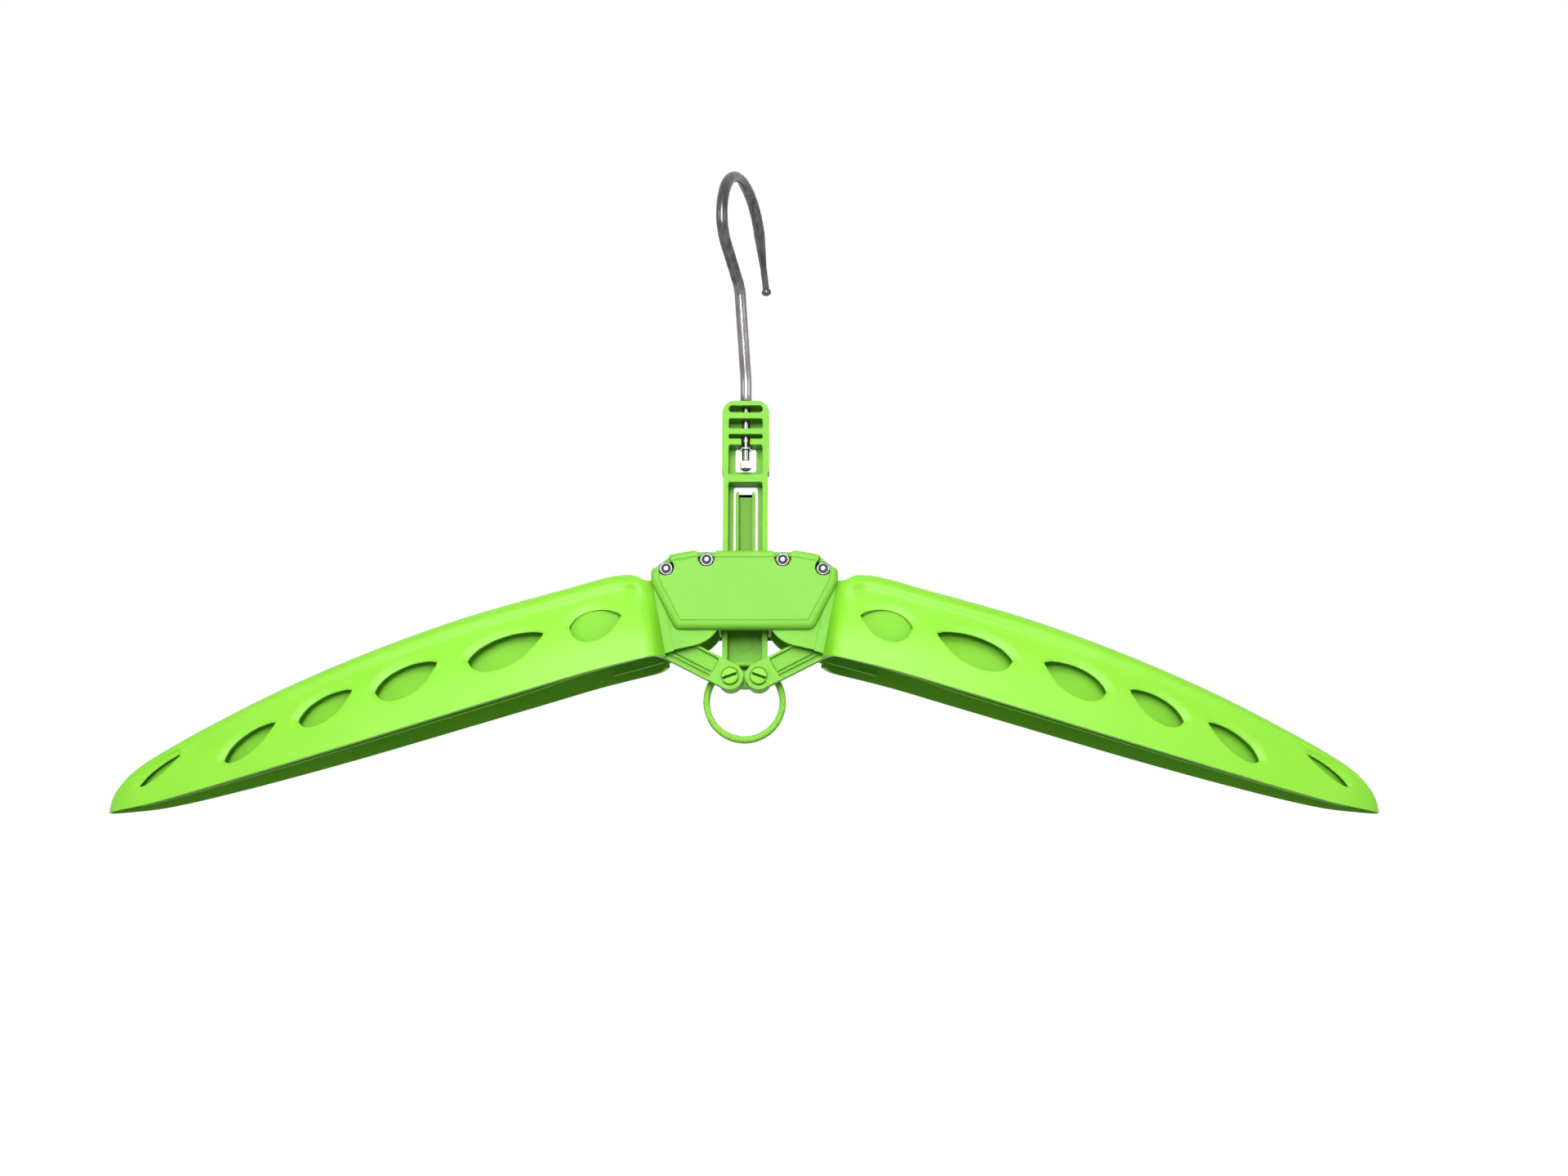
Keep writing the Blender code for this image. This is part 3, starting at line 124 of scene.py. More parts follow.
def smoothAt(table, position):
    # a smooth curve through rows of place and value
    last = len(table) - 2
    index = max(i for i in range(last + 1) if i == 0 or table[i][0] <= position)
    before = table[max(index - 1, 0)]
    low = table[index]
    high = table[index + 1]
    after = table[min(index + 2, last + 1)]
    width = high[0] - low[0]
    slope = (high[1] - low[1]) / width
    slopeLow = slope if before is low else (high[1] - before[1]) / (high[0] - before[0])
    slopeHigh = slope if after is high else (after[1] - low[1]) / (after[0] - low[0])
    t = min(max((position - low[0]) / width, 0.0), 1.0)
    t2 = t * t
    t3 = t2 * t
    return ((2 * t3 - 3 * t2 + 1) * low[1] + (t3 - 2 * t2 + t) * slopeLow * width
            + (3 * t2 - 2 * t3) * high[1] + (t3 - t2) * slopeHigh * width)


def ease(t):
    t = min(max(t, 0.0), 1.0)
    return t * t * (3 - 2 * t)


def loft(rings):
    # a skin over rings of points, closed at both ends
    mesh = bmesh.new()
    rows = [[mesh.verts.new(p) for p in ring] for ring in rings]
    count = len(rows[0])
    for low, high in zip(rows, rows[1:]):
        for i in range(count):
            j = (i + 1) % count
            mesh.faces.new((low[i], low[j], high[j], high[i]))
    mesh.faces.new(list(reversed(rows[0])))
    mesh.faces.new(rows[-1])
    bmesh.ops.recalc_face_normals(mesh, faces=mesh.faces)
    return mesh


def flatRing(outline, y):
    return [(x, y, z) for x, z in outline]


def prism(outline, y0, y1):
    return loft([flatRing(outline, y0), flatRing(outline, y1)])


def block(x0, x1, y0, y1, z0, z1):
    return prism(rectPoints(x0, z0, x1, z1), y0, y1)


def turnedY(cx, cz, profile, steps=48):
    return loft([flatRing(circlePoints(cx, cz, r, steps), y) for y, r in profile])


def turnedZ(profile, steps=48):
    return loft([[(x, y, z) for x, y in circlePoints(0, 0, r, steps)] for z, r in profile])


def asObject(mesh, name):
    data = bpy.data.meshes.new(name)
    mesh.to_mesh(data)
    mesh.free()
    thing = bpy.data.objects.new(name, data)
    bpy.context.scene.collection.objects.link(thing)
    return thing


def joinBy(mesh, others, operation):
    for other in others:
        body = asObject(mesh, "bodyWork")
        tool = asObject(other, "toolWork")
        modifier = body.modifiers.new("join", "BOOLEAN")
        modifier.operation = operation
        modifier.solver = "EXACT"
        modifier.object = tool
        bpy.context.view_layer.update()
        mesh = bmesh.new()
        mesh.from_mesh(body.evaluated_get(bpy.context.evaluated_depsgraph_get()).data)
        bpy.data.objects.remove(body, do_unlink=True)
        bpy.data.objects.remove(tool, do_unlink=True)
    return mesh


def cut(mesh, *others):
    return joinBy(mesh, others, "DIFFERENCE")


def fuse(mesh, *others):
    return joinBy(mesh, others, "UNION")


def keepCommon(mesh, *others):
    return joinBy(mesh, others, "INTERSECT")


def drilled(mesh, x, z, radius, steps=32, y0=-clear, y1=clear):
    return cut(mesh, prism(circlePoints(x, z, radius, steps), y0, y1))


def mirrored(mesh, axis):
    copy = mesh.copy()
    bmesh.ops.scale(copy, vec=[-1.0 if name == axis else 1.0 for name in "XYZ"], verts=copy.verts)
    bmesh.ops.reverse_faces(copy, faces=copy.faces)
    return copy


def movedTo(mesh, x, z, angle):
    # turns a piece that is drawn along X and sets it down at its place
    bmesh.ops.rotate(mesh, verts=mesh.verts, cent=(0, 0, 0), matrix=Matrix.Rotation(-angle, 3, "Y"))
    bmesh.ops.translate(mesh, verts=mesh.verts, vec=(x, 0, z))
    return mesh


def addPiece(name, mesh, node, material, soften=0.0, sharpAngle=35.0):
    # lifts a piece drawn from the housing level into the frame, and lets it stand for one node
    bmesh.ops.translate(mesh, verts=mesh.verts, vec=(0, 0, lift))
    piece = asObject(mesh, name)
    piece.data.materials.append(material)
    piece.data.shade_smooth()
    if soften > 0:
        rounding = piece.modifiers.new("softEdges", "BEVEL")
        rounding.width = soften
        rounding.segments = 2
        rounding.limit_method = "ANGLE"
        rounding.angle_limit = math.radians(sharpAngle)
        evening = piece.modifiers.new("evenShading", "WEIGHTED_NORMAL")
        evening.weight = 60
    else:
        piece.data.set_sharp_from_angle(angle=math.radians(sharpAngle))
    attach(piece, frame["nodes"][node]["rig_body"])
    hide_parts(node)


def newMaterial(name):
    material = bpy.data.materials.new(name)
    material.use_nodes = True
    return material, material.node_tree, material.node_tree.nodes["Principled BSDF"]


def feed(tree, node, sockets):
    # an output is linked to the named socket, anything else is set on it
    for name, value in sockets.items():
        if isinstance(value, bpy.types.NodeSocket):
            tree.links.new(value, node.inputs[name])
        else:
            node.inputs[name].default_value = value


def addNode(tree, kind, sockets, **settings):
    node = tree.nodes.new("ShaderNode" + kind)
    for name, value in settings.items():
        setattr(node, name, value)
    feed(tree, node, sockets)
    return node


def addNoise(tree, coordinates, scale, detail, stretch=None):
    source = coordinates.outputs["Object"]
    if stretch:
        source = addNode(tree, "Mapping", {"Vector": source, "Scale": stretch}).outputs["Vector"]
    return addNode(tree, "TexNoise", {"Vector": source, "Scale": scale, "Detail": detail})


def addRamp(tree, source, low, high, first, last):
    ramp = addNode(tree, "ValToRGB", {"Fac": source})
    for stop, position, colour in zip(ramp.color_ramp.elements, (low, high), (first, last)):
        stop.position = position
        stop.color = colour
    return ramp.outputs["Color"]


def addRange(tree, source, low, high, **settings):
    # spreads a value that runs from 0 to 1 between two others
    sockets = {"Value": source, "To Min": low, "To Max": high}
    return addNode(tree, "MapRange", sockets, **settings)


limePlastic = {
    "deep": (0.262, 0.755, 0.022), "pale": (0.288, 0.790, 0.031), "rough": (0.44, 0.52), "ior": 1.49,
    "gloss": 0.52, "cloudScale": 38.0, "cloudDetail": 3.0, "cloudEdges": (0.30, 0.70),
    "grainScale": 2600.0, "grainDetail": 2.0, "grainHeight": 0.000012,
    # painted shade in hollows: how far it reaches, how dark it gets at most, and its samples
    "paintedShadeReach": 0.012, "paintedShadeLeast": 0.62, "paintedShadeSamples": 16,
}


def makePlastic(name, tint=(1.0, 1.0, 1.0), dents=(), duller=0.0):
    # a moulded green that clouds a little, with a fine grain and painted shade that darkens its hollows;
    # dents are sink marks
    p = limePlastic
    material, tree, shader = newMaterial(name)
    coordinates = addNode(tree, "TexCoord", {})
    cloud = addNoise(tree, coordinates, p["cloudScale"], p["cloudDetail"]).outputs["Fac"]
    grain = addNoise(tree, coordinates, p["grainScale"], p["grainDetail"]).outputs["Fac"]
    tones = [tuple(c * t for c, t in zip(p[key], tint)) + (1,) for key in ("deep", "pale")]
    colour = addRamp(tree, cloud, *p["cloudEdges"], *tones)
    # painted shade: the colour is darkened where other surfaces come near, where shade would fall
    near = addNode(tree, "AmbientOcclusion", {"Distance": p["paintedShadeReach"]}, samples=p["paintedShadeSamples"])
    paintedShade = addRange(tree, near.outputs["AO"], p["paintedShadeLeast"], 1.0)
    shaded = addNode(tree, "VectorMath", {0: colour, "Scale": paintedShade.outputs["Result"]},
                     operation="SCALE")
    rough = addRange(tree, grain, p["rough"][0] + duller, p["rough"][1] + duller)
    bump = addNode(tree, "Bump", {"Height": grain, "Distance": p["grainHeight"]})
    for place, reach, depth in dents:
        away = addNode(tree, "VectorMath", {0: coordinates.outputs["Object"], 1: place}, operation="DISTANCE")
        hollow = addNode(tree, "MapRange", {"Value": away.outputs["Value"], "From Max": reach},
                         interpolation_type="SMOOTHERSTEP")
        bump = addNode(tree, "Bump", {"Height": hollow.outputs["Result"], "Distance": depth,
                                      "Normal": bump.outputs["Normal"]})
    feed(tree, shader, {
        "Base Color": shaded.outputs["Vector"], "Roughness": rough.outputs["Result"],
        "Normal": bump.outputs["Normal"], "IOR": p["ior"], "Specular IOR Level": p["gloss"]})
    return material


brightSteel = {
    "rod": {"dark": (0.160, 0.150, 0.157, 1), "light": (0.320, 0.305, 0.316, 1), "rough": (0.22, 0.30),
            "scale": 420.0, "stretch": (1.0, 1.0, 0.12), "height": 0.000003},
    "plated": {"dark": (0.40, 0.41, 0.43, 1), "light": (0.60, 0.62, 0.64, 1), "rough": (0.16, 0.30),
               "scale": 900.0, "stretch": None, "height": 0.000005},
    "dull": {"dark": (0.05, 0.053, 0.056, 1), "light": (0.17, 0.178, 0.186, 1), "rough": (0.24, 0.40),
             "scale": 900.0, "stretch": None, "height": 0.000005},
    "detail": 4.0, "edges": (0.32, 0.68),
}


def makeSteel(name, kind, paintedDimming=None):
    # drawn steel; the last argument paints shade: the height where the colour starts to darken, where it
    # ends, and what is left
    p = brightSteel[kind]
    material, tree, shader = newMaterial(name)
    coordinates = addNode(tree, "TexCoord", {})
    drawn = addNoise(tree, coordinates, p["scale"], brightSteel["detail"], p["stretch"]).outputs["Fac"]
    colour = addRamp(tree, drawn, *brightSteel["edges"], p["dark"], p["light"])
    # painted shade: the colour darkens with height
    if paintedDimming:
        low, high, least = paintedDimming
        split = addNode(tree, "SeparateXYZ", {"Vector": coordinates.outputs["Object"]})
        fade = addRange(tree, split.outputs["Z"], 1.0, least, interpolation_type="SMOOTHSTEP")
        feed(tree, fade, {"From Min": low, "From Max": high})
        colour = addNode(tree, "VectorMath", {0: colour, "Scale": fade.outputs["Result"]},
                         operation="SCALE").outputs["Vector"]
    rough = addRange(tree, drawn, *p["rough"])
    bump = addNode(tree, "Bump", {"Height": drawn, "Distance": p["height"]})
    feed(tree, shader, {"Base Color": colour, "Roughness": rough.outputs["Result"],
                        "Normal": bump.outputs["Normal"], "Metallic": 1.0})
    return material


armGreen = makePlastic("armGreen")
# painted shade: these greens are darker copies of the arm's green, for parts lit more in the middle or
# sitting in shade; the bluer ones also carry painted sheen
barGreen = makePlastic("barGreen", (0.82, 0.82, 1.10), duller=0.12)
tongueGreen = makePlastic("tongueGreen", (0.64, 0.66, 0.60), duller=0.14)
linkGreen = makePlastic("linkGreen", (0.82, 0.83, 1.20), duller=0.12)
neckGreen = makePlastic("neckGreen", (0.80, 0.83, 1.50), duller=0.12)
panelGreen = makePlastic("panelGreen", (0.87, 0.92, 0.52), duller=0.16)
pinGreen = makePlastic("pinGreen", (0.96, 0.95, 1.30), duller=0.10)
darkRingGrey = makePlastic("darkRingGrey", (0.05, 0.017, 0.4))
rodSteel = makeSteel("rodSteel", "rod", (-0.056, -0.038, 0.46))  # painted shade: the bent end is darkened for the darker surroundings it reflects, the shank is not
platedSteel = makeSteel("platedSteel", "plated")
dullSteel = makeSteel("dullSteel", "dull")
print("materials made")


arm = {
    "rootX": 0.0360, "length": 0.2075, "drop": 0.0900, "halfDepth": 0.0220, "wall": 0.0018,
    "stepLean": 0.0060, "stepReach": 0.0300, "boxReach": 0.0120,
    "top": ((0.0, 0.014), (0.017, 0.019), (0.029, 0.036), (0.041, 0.048), (0.063, 0.050), (0.101, 0.030),
            (0.140, 0.003), (0.212, -0.044), (0.342, -0.132), (0.463, -0.231), (0.588, -0.348),
            (0.713, -0.481), (0.839, -0.634), (0.916, -0.737), (0.959, -0.807), (0.983, -0.868),
            (0.9957, -0.920), (1.0, -0.965)),
    "bottom": ((0.0, -0.327), (0.342, -0.568), (0.588, -0.741), (0.800, -0.882), (0.910, -0.947),
               (0.978, -0.973), (1.0, -0.9807)),
    "depth": ((0.0, 0.5591), (0.010, 0.682), (0.024, 0.832), (0.043, 0.945), (0.067, 0.991), (0.101, 1.0),
              (0.212, 1.0), (0.347, 0.964), (0.506, 0.909), (0.598, 0.859), (0.684, 0.791), (0.752, 0.723),
              (0.839, 0.605), (0.906, 0.482), (0.949, 0.364), (0.978, 0.236), (0.993, 0.132), (1.0, 0.045)),
    "section": ((0.0, 0.0), (0.010, 0.28), (0.035, 0.47), (0.085, 0.61), (0.125, 0.672), (0.160, 0.684),
                (0.205, 0.672), (0.300, 0.722), (0.450, 0.820), (0.700, 0.935), (1.0, 1.0)),
    "rootSection": ((0.0, 0.0), (0.004, 0.60), (0.012, 0.80), (0.035, 0.93), (0.080, 0.985), (0.150, 1.0),
                    (0.300, 1.0), (0.450, 1.0), (0.700, 1.0), (1.0, 1.0)),
    # openings: middle along the arm, height, chord, upper bulge, lower bulge, tilt in degrees, and how far
    # both arms have it to the left of the mirrored place
    "openings": (
        (0.0948, -0.185, 0.0987, 0.228, 0.375, -13.1, 0.00120),
        (0.2578, -0.296, 0.1478, 0.146, 0.250, -20.6, 0.00145),
        (0.4405, -0.423, 0.1258, 0.168, 0.275, -26.1, 0.00124),
        (0.5886, -0.542, 0.1130, 0.160, 0.245, -31.4, 0.00106),
        (0.7260, -0.692, 0.1149, 0.148, 0.165, -37.9, 0.00075),
        (0.8995, -0.805, 0.0947, 0.078, 0.095, -38.1, 0.0)),
    "upperEdge": ((0.0, 0.0), (0.03, 0.20), (0.077, 0.41), (0.198, 0.77), (0.359, 0.972), (0.524, 1.0),
                  (0.695, 0.868), (0.839, 0.611), (0.929, 0.361), (0.981, 0.12), (1.0, 0.0)),
    "lowerEdge": ((0.0, 0.0), (0.019, 0.342), (0.06, 0.595), (0.14, 0.819), (0.232, 0.945), (0.352, 1.0),
                  (0.48, 0.987), (0.60, 0.89), (0.712, 0.751), (0.813, 0.532), (0.892, 0.335), (0.961, 0.16),
                  (1.0, 0.0)),
    "edgeSteps": 22, "lipRings": 6, "lipWide": 0.0034, "lipNarrow": 0.0006, "lipDeep": 0.0012,
    "lipShallow": 0.00012, "lipLean": 60.0, "ringCurve": 1.15, "lipCurve": 0.8, "dropCurve": 1.3,
    # how the skin is divided: rows along it, and shares of a height that counts as flatHeight
    "stepAlong": 0.0017, "stepAcross": 0.0013, "rowEase": 0.18,
    "rootRows": (0.0004, 0.0009, 0.0015, 0.0022, 0.0030),
    "tipRows": (0.0003, 0.0007, 0.0012, 0.0019, 0.0028), "flatHeight": 0.034, "guard": 0.0007,
    "topShares": (0.0, 0.003, 0.008, 0.016, 0.028, 0.044, 0.062, 0.085, 0.110, 0.135, 0.160, 0.185,
                  0.210, 0.240),
    "lowShares": (0.965, 0.985),
    # near the root the lower edge is deeper than the crown, over these shares of the length and the height
    "rimReach": 0.101, "rimShares": (0.25, 0.6),
    "rimDepth": ((0.0, 0.5591), (0.006, 0.80), (0.014, 0.95), (0.026, 1.0), (0.101, 1.0), (0.15, 1.0)),
    "tipFade": 0.0380, "tipThin": 0.1, "drainReach": 0.1370, "drainSway": 0.0034, "drainRise": 0.0088,
    "drainRadius": 0.0036, "drainSteps": 28, "drainRings": ((0.0, 0.00015), (0.0004, 0.0), (0.0010, 0.0)),
}


def armTop(d):
    return arm["drop"] * smoothAt(arm["top"], d / arm["length"])


def armBottom(d):
    return arm["drop"] * smoothAt(arm["bottom"], d / arm["length"])


def armLean(d):
    fade = min(max(1 - d / arm["stepReach"], 0.0), 1.0)
    return arm["stepLean"] * fade * fade


def armPoint(d, s):
    # the outer skin of the front half, at a distance along the arm and a share of the height from the top
    top = armTop(d)
    height = top - armBottom(d)
    mix = ease(d / arm["boxReach"])
    share = (1 - mix) * smoothAt(arm["rootSection"], s) + mix * smoothAt(arm["section"], s)
    deep = smoothAt(arm["depth"], d / arm["length"])
    if d < arm["rimReach"] * arm["length"]:
        start, span = arm["rimShares"]
        deep += (smoothAt(arm["rimDepth"], d / arm["length"]) - deep) * ease((s - start) / span)
    half = arm["halfDepth"] * deep * share
    return Vector((arm["rootX"] + d - armLean(d) * s, -half, top - height * s))


def armPlace(x, z):
    # the distance and height share of a point of the front view
    d = x - arm["rootX"]
    s = 0.5
    for _ in range(5):
        d = min(max(x - arm["rootX"] + armLean(d) * s, 0.0), arm["length"])
        top = armTop(d)
        s = min(max((top - z) / (top - armBottom(d)), 0.0), 1.0)
    return d, s


def openingOutline(row, side):
    # a leaf with a sharp inner corner and a round outer end, anticlockwise from the inner corner
    along, level, chordShare, upper, lower, tilt, sway = row
    middle = Vector((arm["rootX"] + along * arm["length"] - side * sway, level * arm["drop"]))
    chord = chordShare * arm["length"]
    steps = arm["edgeSteps"]
    spots = [(1 - math.cos(math.pi * i / steps)) / 2 for i in range(steps + 1)]
    points = []
    for t in reversed(spots[1:]):
        points.append(((1 / 2 - t) * chord, -lower * chord * smoothAt(arm["lowerEdge"], t)))
    for t in spots[:-1]:
        points.append(((1 / 2 - t) * chord, upper * chord * smoothAt(arm["upperEdge"], t)))
    turn = Matrix.Rotation(math.radians(tilt), 2)
    return [middle + turn @ Vector(p) for p in points], math.radians(tilt)


def offsetNormals(points):
    normals = []
    for i, here in enumerate(points):
        into = (here - points[i - 1]).normalized()
        out = (points[(i + 1) % len(points)] - here).normalized()
        along = (into + out).normalized()
        normals.append(Vector((along.y, -along.x)))
    return normals


def insideLoop(px, py, loop):
    inside = np.zeros(len(px), bool)
    for i in range(len(loop)):
        x0, y0 = loop[i - 1]
        x1, y1 = loop[i]
        crosses = (y0 > py) != (y1 > py)
        if y0 != y1:
            inside ^= crosses & (px < (x1 - x0) * (py - y0) / (y1 - y0) + x0)
    return inside


def armRows():
    length = arm["length"]
    count = round(length / arm["stepAlong"])
    rows = []
    for i in range(count + 1):
        t = i / count
        rows.append(length * ((1 - arm["rowEase"]) * t + arm["rowEase"] * ease(t)))
    rows = rows[2:-2] + list(arm["rootRows"]) + [length - v for v in arm["tipRows"]] + [0.0, length]
    return sorted(set(round(v, 7) for v in rows))


def armSkin(holes, sideSign):
    # triangles over one half of the arm, from the crown to the rim, with rings of points about each hole
    scale = arm["flatHeight"]
    shares = list(arm["topShares"])
    full, last = arm["lowShares"]
    while shares[-1] < full:
        shares.append(shares[-1] + arm["stepAcross"] / scale)
    shares[-1] = last
    shares.append(1.0)
    rows = armRows()
    gridD, gridS = (v.ravel() for v in np.meshgrid(rows, shares, indexing="ij"))
    keep = np.ones(len(gridD), bool)
    coords = []
    drops = []
    edges = []
    loops = []
    brinks = set()
    for rings, ringDrops in holes:
        placed = [[armPlace(p.x, p.y) for p in ring] for ring in rings]
        loops.append([(d, s * scale) for d, s in placed[0]])
        guard = [Vector((d, s * scale)) for d, s in placed[-1]]
        middle = sum(guard, Vector((0, 0))) / len(guard)
        wide = [p + (p - middle).normalized() * arm["guard"] for p in guard]
        keep &= ~insideLoop(gridD, gridS * scale, wide)
        brinks |= set(range(len(coords), len(coords) + len(placed[0])))
        for ring, depths in zip(placed, ringDrops):
            first = len(coords)
            count = len(ring)
            for (d, s), drop in zip(ring, depths):
                coords.append(Vector((d, s * scale)))
                drops.append(drop)
            edges += [(first + i, first + (i + 1) % count) for i in range(count)]
    onEdge = (gridD == 0) | (gridD == rows[-1]) | (gridS == 0) | (gridS == 1)
    keep |= onEdge
    for d, s in zip(gridD[keep], gridS[keep]):
        coords.append(Vector((float(d), float(s) * scale)))
        drops.append(0.0)
    found, _, faces, sources, _, _ = delaunay_2d_cdt(coords, edges, [], 0, 1e-9)
    centres = np.array([[sum(found[i].x for i in f) / 3, sum(found[i].y for i in f) / 3] for f in faces])
    gone = np.zeros(len(faces), bool)
    for loop in loops:
        gone |= insideLoop(centres[:, 0], centres[:, 1], loop)
    mesh = bmesh.new()
    brink = mesh.verts.layers.int.new("brink")
    verts = []
    for place, source in zip(found, sources):
        point = armPoint(place.x, min(max(place.y / scale, 0.0), 1.0))
        point.y += drops[source[0]] if source else 0.0
        point.y *= sideSign
        if place.y < 1e-9:
            point.y = 0.0
        verts.append(mesh.verts.new(point))
        verts[-1][brink] = 1 if source and source[0] in brinks else 0
    for face, out in zip(faces, gone):
        if not out:
            corners = [verts[i] for i in face]
            mesh.faces.new(corners if sideSign > 0 else corners[::-1])
    bmesh.ops.delete(mesh, geom=[v for v in mesh.verts if not v.link_faces], context="VERTS")
    return mesh


def openingRings(row, side):
    # rings of points about an opening, and how far each is pressed in; the lip is deepest on one side
    outline, tilt = openingOutline(row, side)
    normals = offsetNormals(outline)
    lean = tilt + math.radians(arm["lipLean"])
    shift = Vector((math.cos(lean), math.sin(lean)))
    facing = [max(n.dot(shift), 0.0) for n in normals]
    facing = [(facing[i - 1] + 2 * facing[i] + facing[(i + 1) % len(facing)]) / 4 for i in range(len(facing))]
    rings = []
    ringDrops = []
    small = min(1.0, 0.45 + row[2] * 5)  # small openings have small lips
    for k in range(arm["lipRings"] + 1):
        t = (k / arm["lipRings"]) ** arm["ringCurve"]
        ring = []
        depths = []
        for p, n, f in zip(outline, normals, facing):
            lip = f ** arm["lipCurve"]
            width = (arm["lipNarrow"] + (arm["lipWide"] - arm["lipNarrow"]) * lip) * small
            deep = (arm["lipShallow"] + (arm["lipDeep"] - arm["lipShallow"]) * lip) * small
            ring.append(p + n * (width * t))
            depths.append(deep * (1 - t) ** arm["dropCurve"])
        rings.append(ring)
        ringDrops.append(depths)
    return rings, ringDrops


def drainRings(side):
    # the drain hole in the back wall, which the two arms have at slightly different places
    reach = arm["drainReach"] + (arm["drainSway"] if side > 0 else 0)
    x = arm["rootX"] + reach
    z = armBottom(reach) + arm["drainRise"]
    steps = arm["drainSteps"]
    rings = [[Vector(p) for p in circlePoints(x, z, arm["drainRadius"] + grow, steps)]
             for grow, _ in arm["drainRings"]]
    return rings, [[drop] * steps for _, drop in arm["drainRings"]]


def armShell(side):
    # front and back skins joined, then thickened inwards
    front = armSkin([openingRings(row, side) for row in arm["openings"]], 1)
    back = armSkin([drainRings(side)], -1)
    data = bpy.data.meshes.new("backWork")
    back.to_mesh(data)
    front.from_mesh(data)
    bpy.data.meshes.remove(data)
    back.free()
    bmesh.ops.remove_doubles(front, verts=front.verts, dist=1e-6)
    bmesh.ops.recalc_face_normals(front, faces=front.faces)
    front.normal_update()
    crown = max(front.verts, key=lambda v: v.co.z)
    if crown.normal.z < 0:
        bmesh.ops.reverse_faces(front, faces=front.faces)
        front.normal_update()
    outerFaces = list(front.faces)
    rims = [e for e in front.edges if e.is_boundary]
    rimPairs = [(e.link_loops[0].vert, e.link_loops[0].link_loop_next.vert) for e in rims]
    inner = {}
    brink = front.verts.layers.int["brink"]
    for v in list(front.verts):
        straight = Vector((0, math.copysign(1, v.co.y), 0))
        thin = min(max((arm["rootX"] + arm["length"] - v.co.x) / arm["tipFade"], arm["tipThin"]), 1.0)
        place = v.co - (straight if v[brink] else v.normal) * arm["wall"] * thin
        if v.co.y < -1e-6:
            place.y = min(place.y, 0.0)
        elif v.co.y > 1e-6:
            place.y = max(place.y, 0.0)
        inner[v] = front.verts.new(place)
    for face in outerFaces:
        front.faces.new([inner[v] for v in reversed(face.verts)])
    for a, b in rimPairs:
        front.faces.new((b, a, inner[a], inner[b]))
    return front


neck = {
    "front": 0.0120, "plate": 0.0017, "arcX": 0.0223, "arcZ": -0.0110, "radius": 0.0141, "top": 0.0007,
    "footX": 0.0300, "footZ": -0.0271, "rootX": 0.05206, "rise": 0.0012, "webX": 0.0270, "web": 0.0016,
    "band": 0.0031, "bandProud": 0.0003, "axleX": 0.0220, "axleZ": -0.0080, "axleHole": 0.00325,
    "pinX": 0.04556, "pinZ": -0.0159, "pinHole": 0.0019, "arcEnd": 260,
}


def neckPlate(sideSign):
    n = neck
    start = math.asin((n["top"] - n["arcZ"]) / n["radius"])
    outline = arcPoints(n["arcX"], n["arcZ"], n["radius"], start, math.radians(n["arcEnd"]), 40) + [
        (n["footX"], n["footZ"]), (arm["rootX"], armBottom(0) + n["rise"] / 2),
        (n["rootX"], armBottom(n["rootX"] - arm["rootX"]) + n["rise"]), (n["rootX"], n["top"])]
    y0, y1 = sorted((sideSign * (n["front"] - n["plate"]), sideSign * n["front"]))
    plate = prism(outline, y0, y1)
    # the raised band beside the step, which follows the sloping root of the shell
    topX = arm["rootX"]
    lowX = arm["rootX"] - arm["stepLean"]
    band = [(topX - n["band"], n["top"]), (lowX - n["band"], n["footZ"] + 0.0002),
            (lowX + 0.0012, n["footZ"] - 0.0012), (topX + 0.0004, n["top"])]
    y0, y1 = sorted((sideSign * (n["front"] - n["plate"] / 2), sideSign * (n["front"] + n["bandProud"])))
    plate = fuse(plate, prism(band, y0, y1))
    for x, z, r in ((n["axleX"], n["axleZ"], n["axleHole"]), (n["pinX"], n["pinZ"], n["pinHole"])):
        plate = drilled(plate, x, z, r)
    return plate


def neckWeb():
    n = neck
    reach = n["front"] - n["plate"] / 2
    end = arm["rootX"] + n["web"] * 2
    return block(n["webX"], end, -reach, reach, n["top"] - n["web"], n["top"] - 0.0003)


# the thin upright wall inside the arm: place along it, depth and drop of its top edge, as shares of the arm
panel = {
    "rows": ((0.041, 0.691, 0.111), (0.145, 0.691, 0.111), (0.217, 0.495, 0.035), (0.337, 0.468, 0.029),
             (0.482, 0.455, 0.029), (0.578, 0.432, 0.029), (0.720, 0.364, 0.029), (0.820, 0.305, 0.029),
             (0.890, 0.223, 0.029), (0.940, 0.141, 0.029)),
    "thick": 0.0016, "rise": 0.0005, "steps": 60,
}


def innerPanel():
    p = panel
    rings = []
    first = p["rows"][0][0]
    last = p["rows"][-1][0]
    for i in range(p["steps"] + 1):
        share = first + (last - first) * i / p["steps"]
        d = share * arm["length"]
        x = arm["rootX"] + d
        front = -arm["halfDepth"] * smoothAt([row[:2] for row in p["rows"]], share)
        top = armTop(d) - arm["drop"] * smoothAt([(row[0], row[2]) for row in p["rows"]], share)
        low = armBottom(d) + p["rise"]
        back = front + p["thick"]
        rings.append([(x, front, low), (x, back, low), (x, back, top), (x, front, top)])
    return loft(rings)


def addArm(side):
    name = "right" if side > 0 else "left"
    plates = fuse(neckPlate(1), neckPlate(-1), neckWeb())
    meshes = [armShell(side), plates, innerPanel()]
    if side < 0:
        meshes = [mirrored(m, "X") for m in meshes]
    addPiece(name + "ArmShell", meshes[0], name + "_arm", armGreen, sharpAngle=42)
    addPiece(name + "ArmNeck", meshes[1], name + "_arm", neckGreen, soften=0.00025)
    addPiece(name + "ArmPanel", meshes[2], name + "_arm", panelGreen, soften=0.00020)


for side in (1, -1):
    addArm(side)
print("arms made")


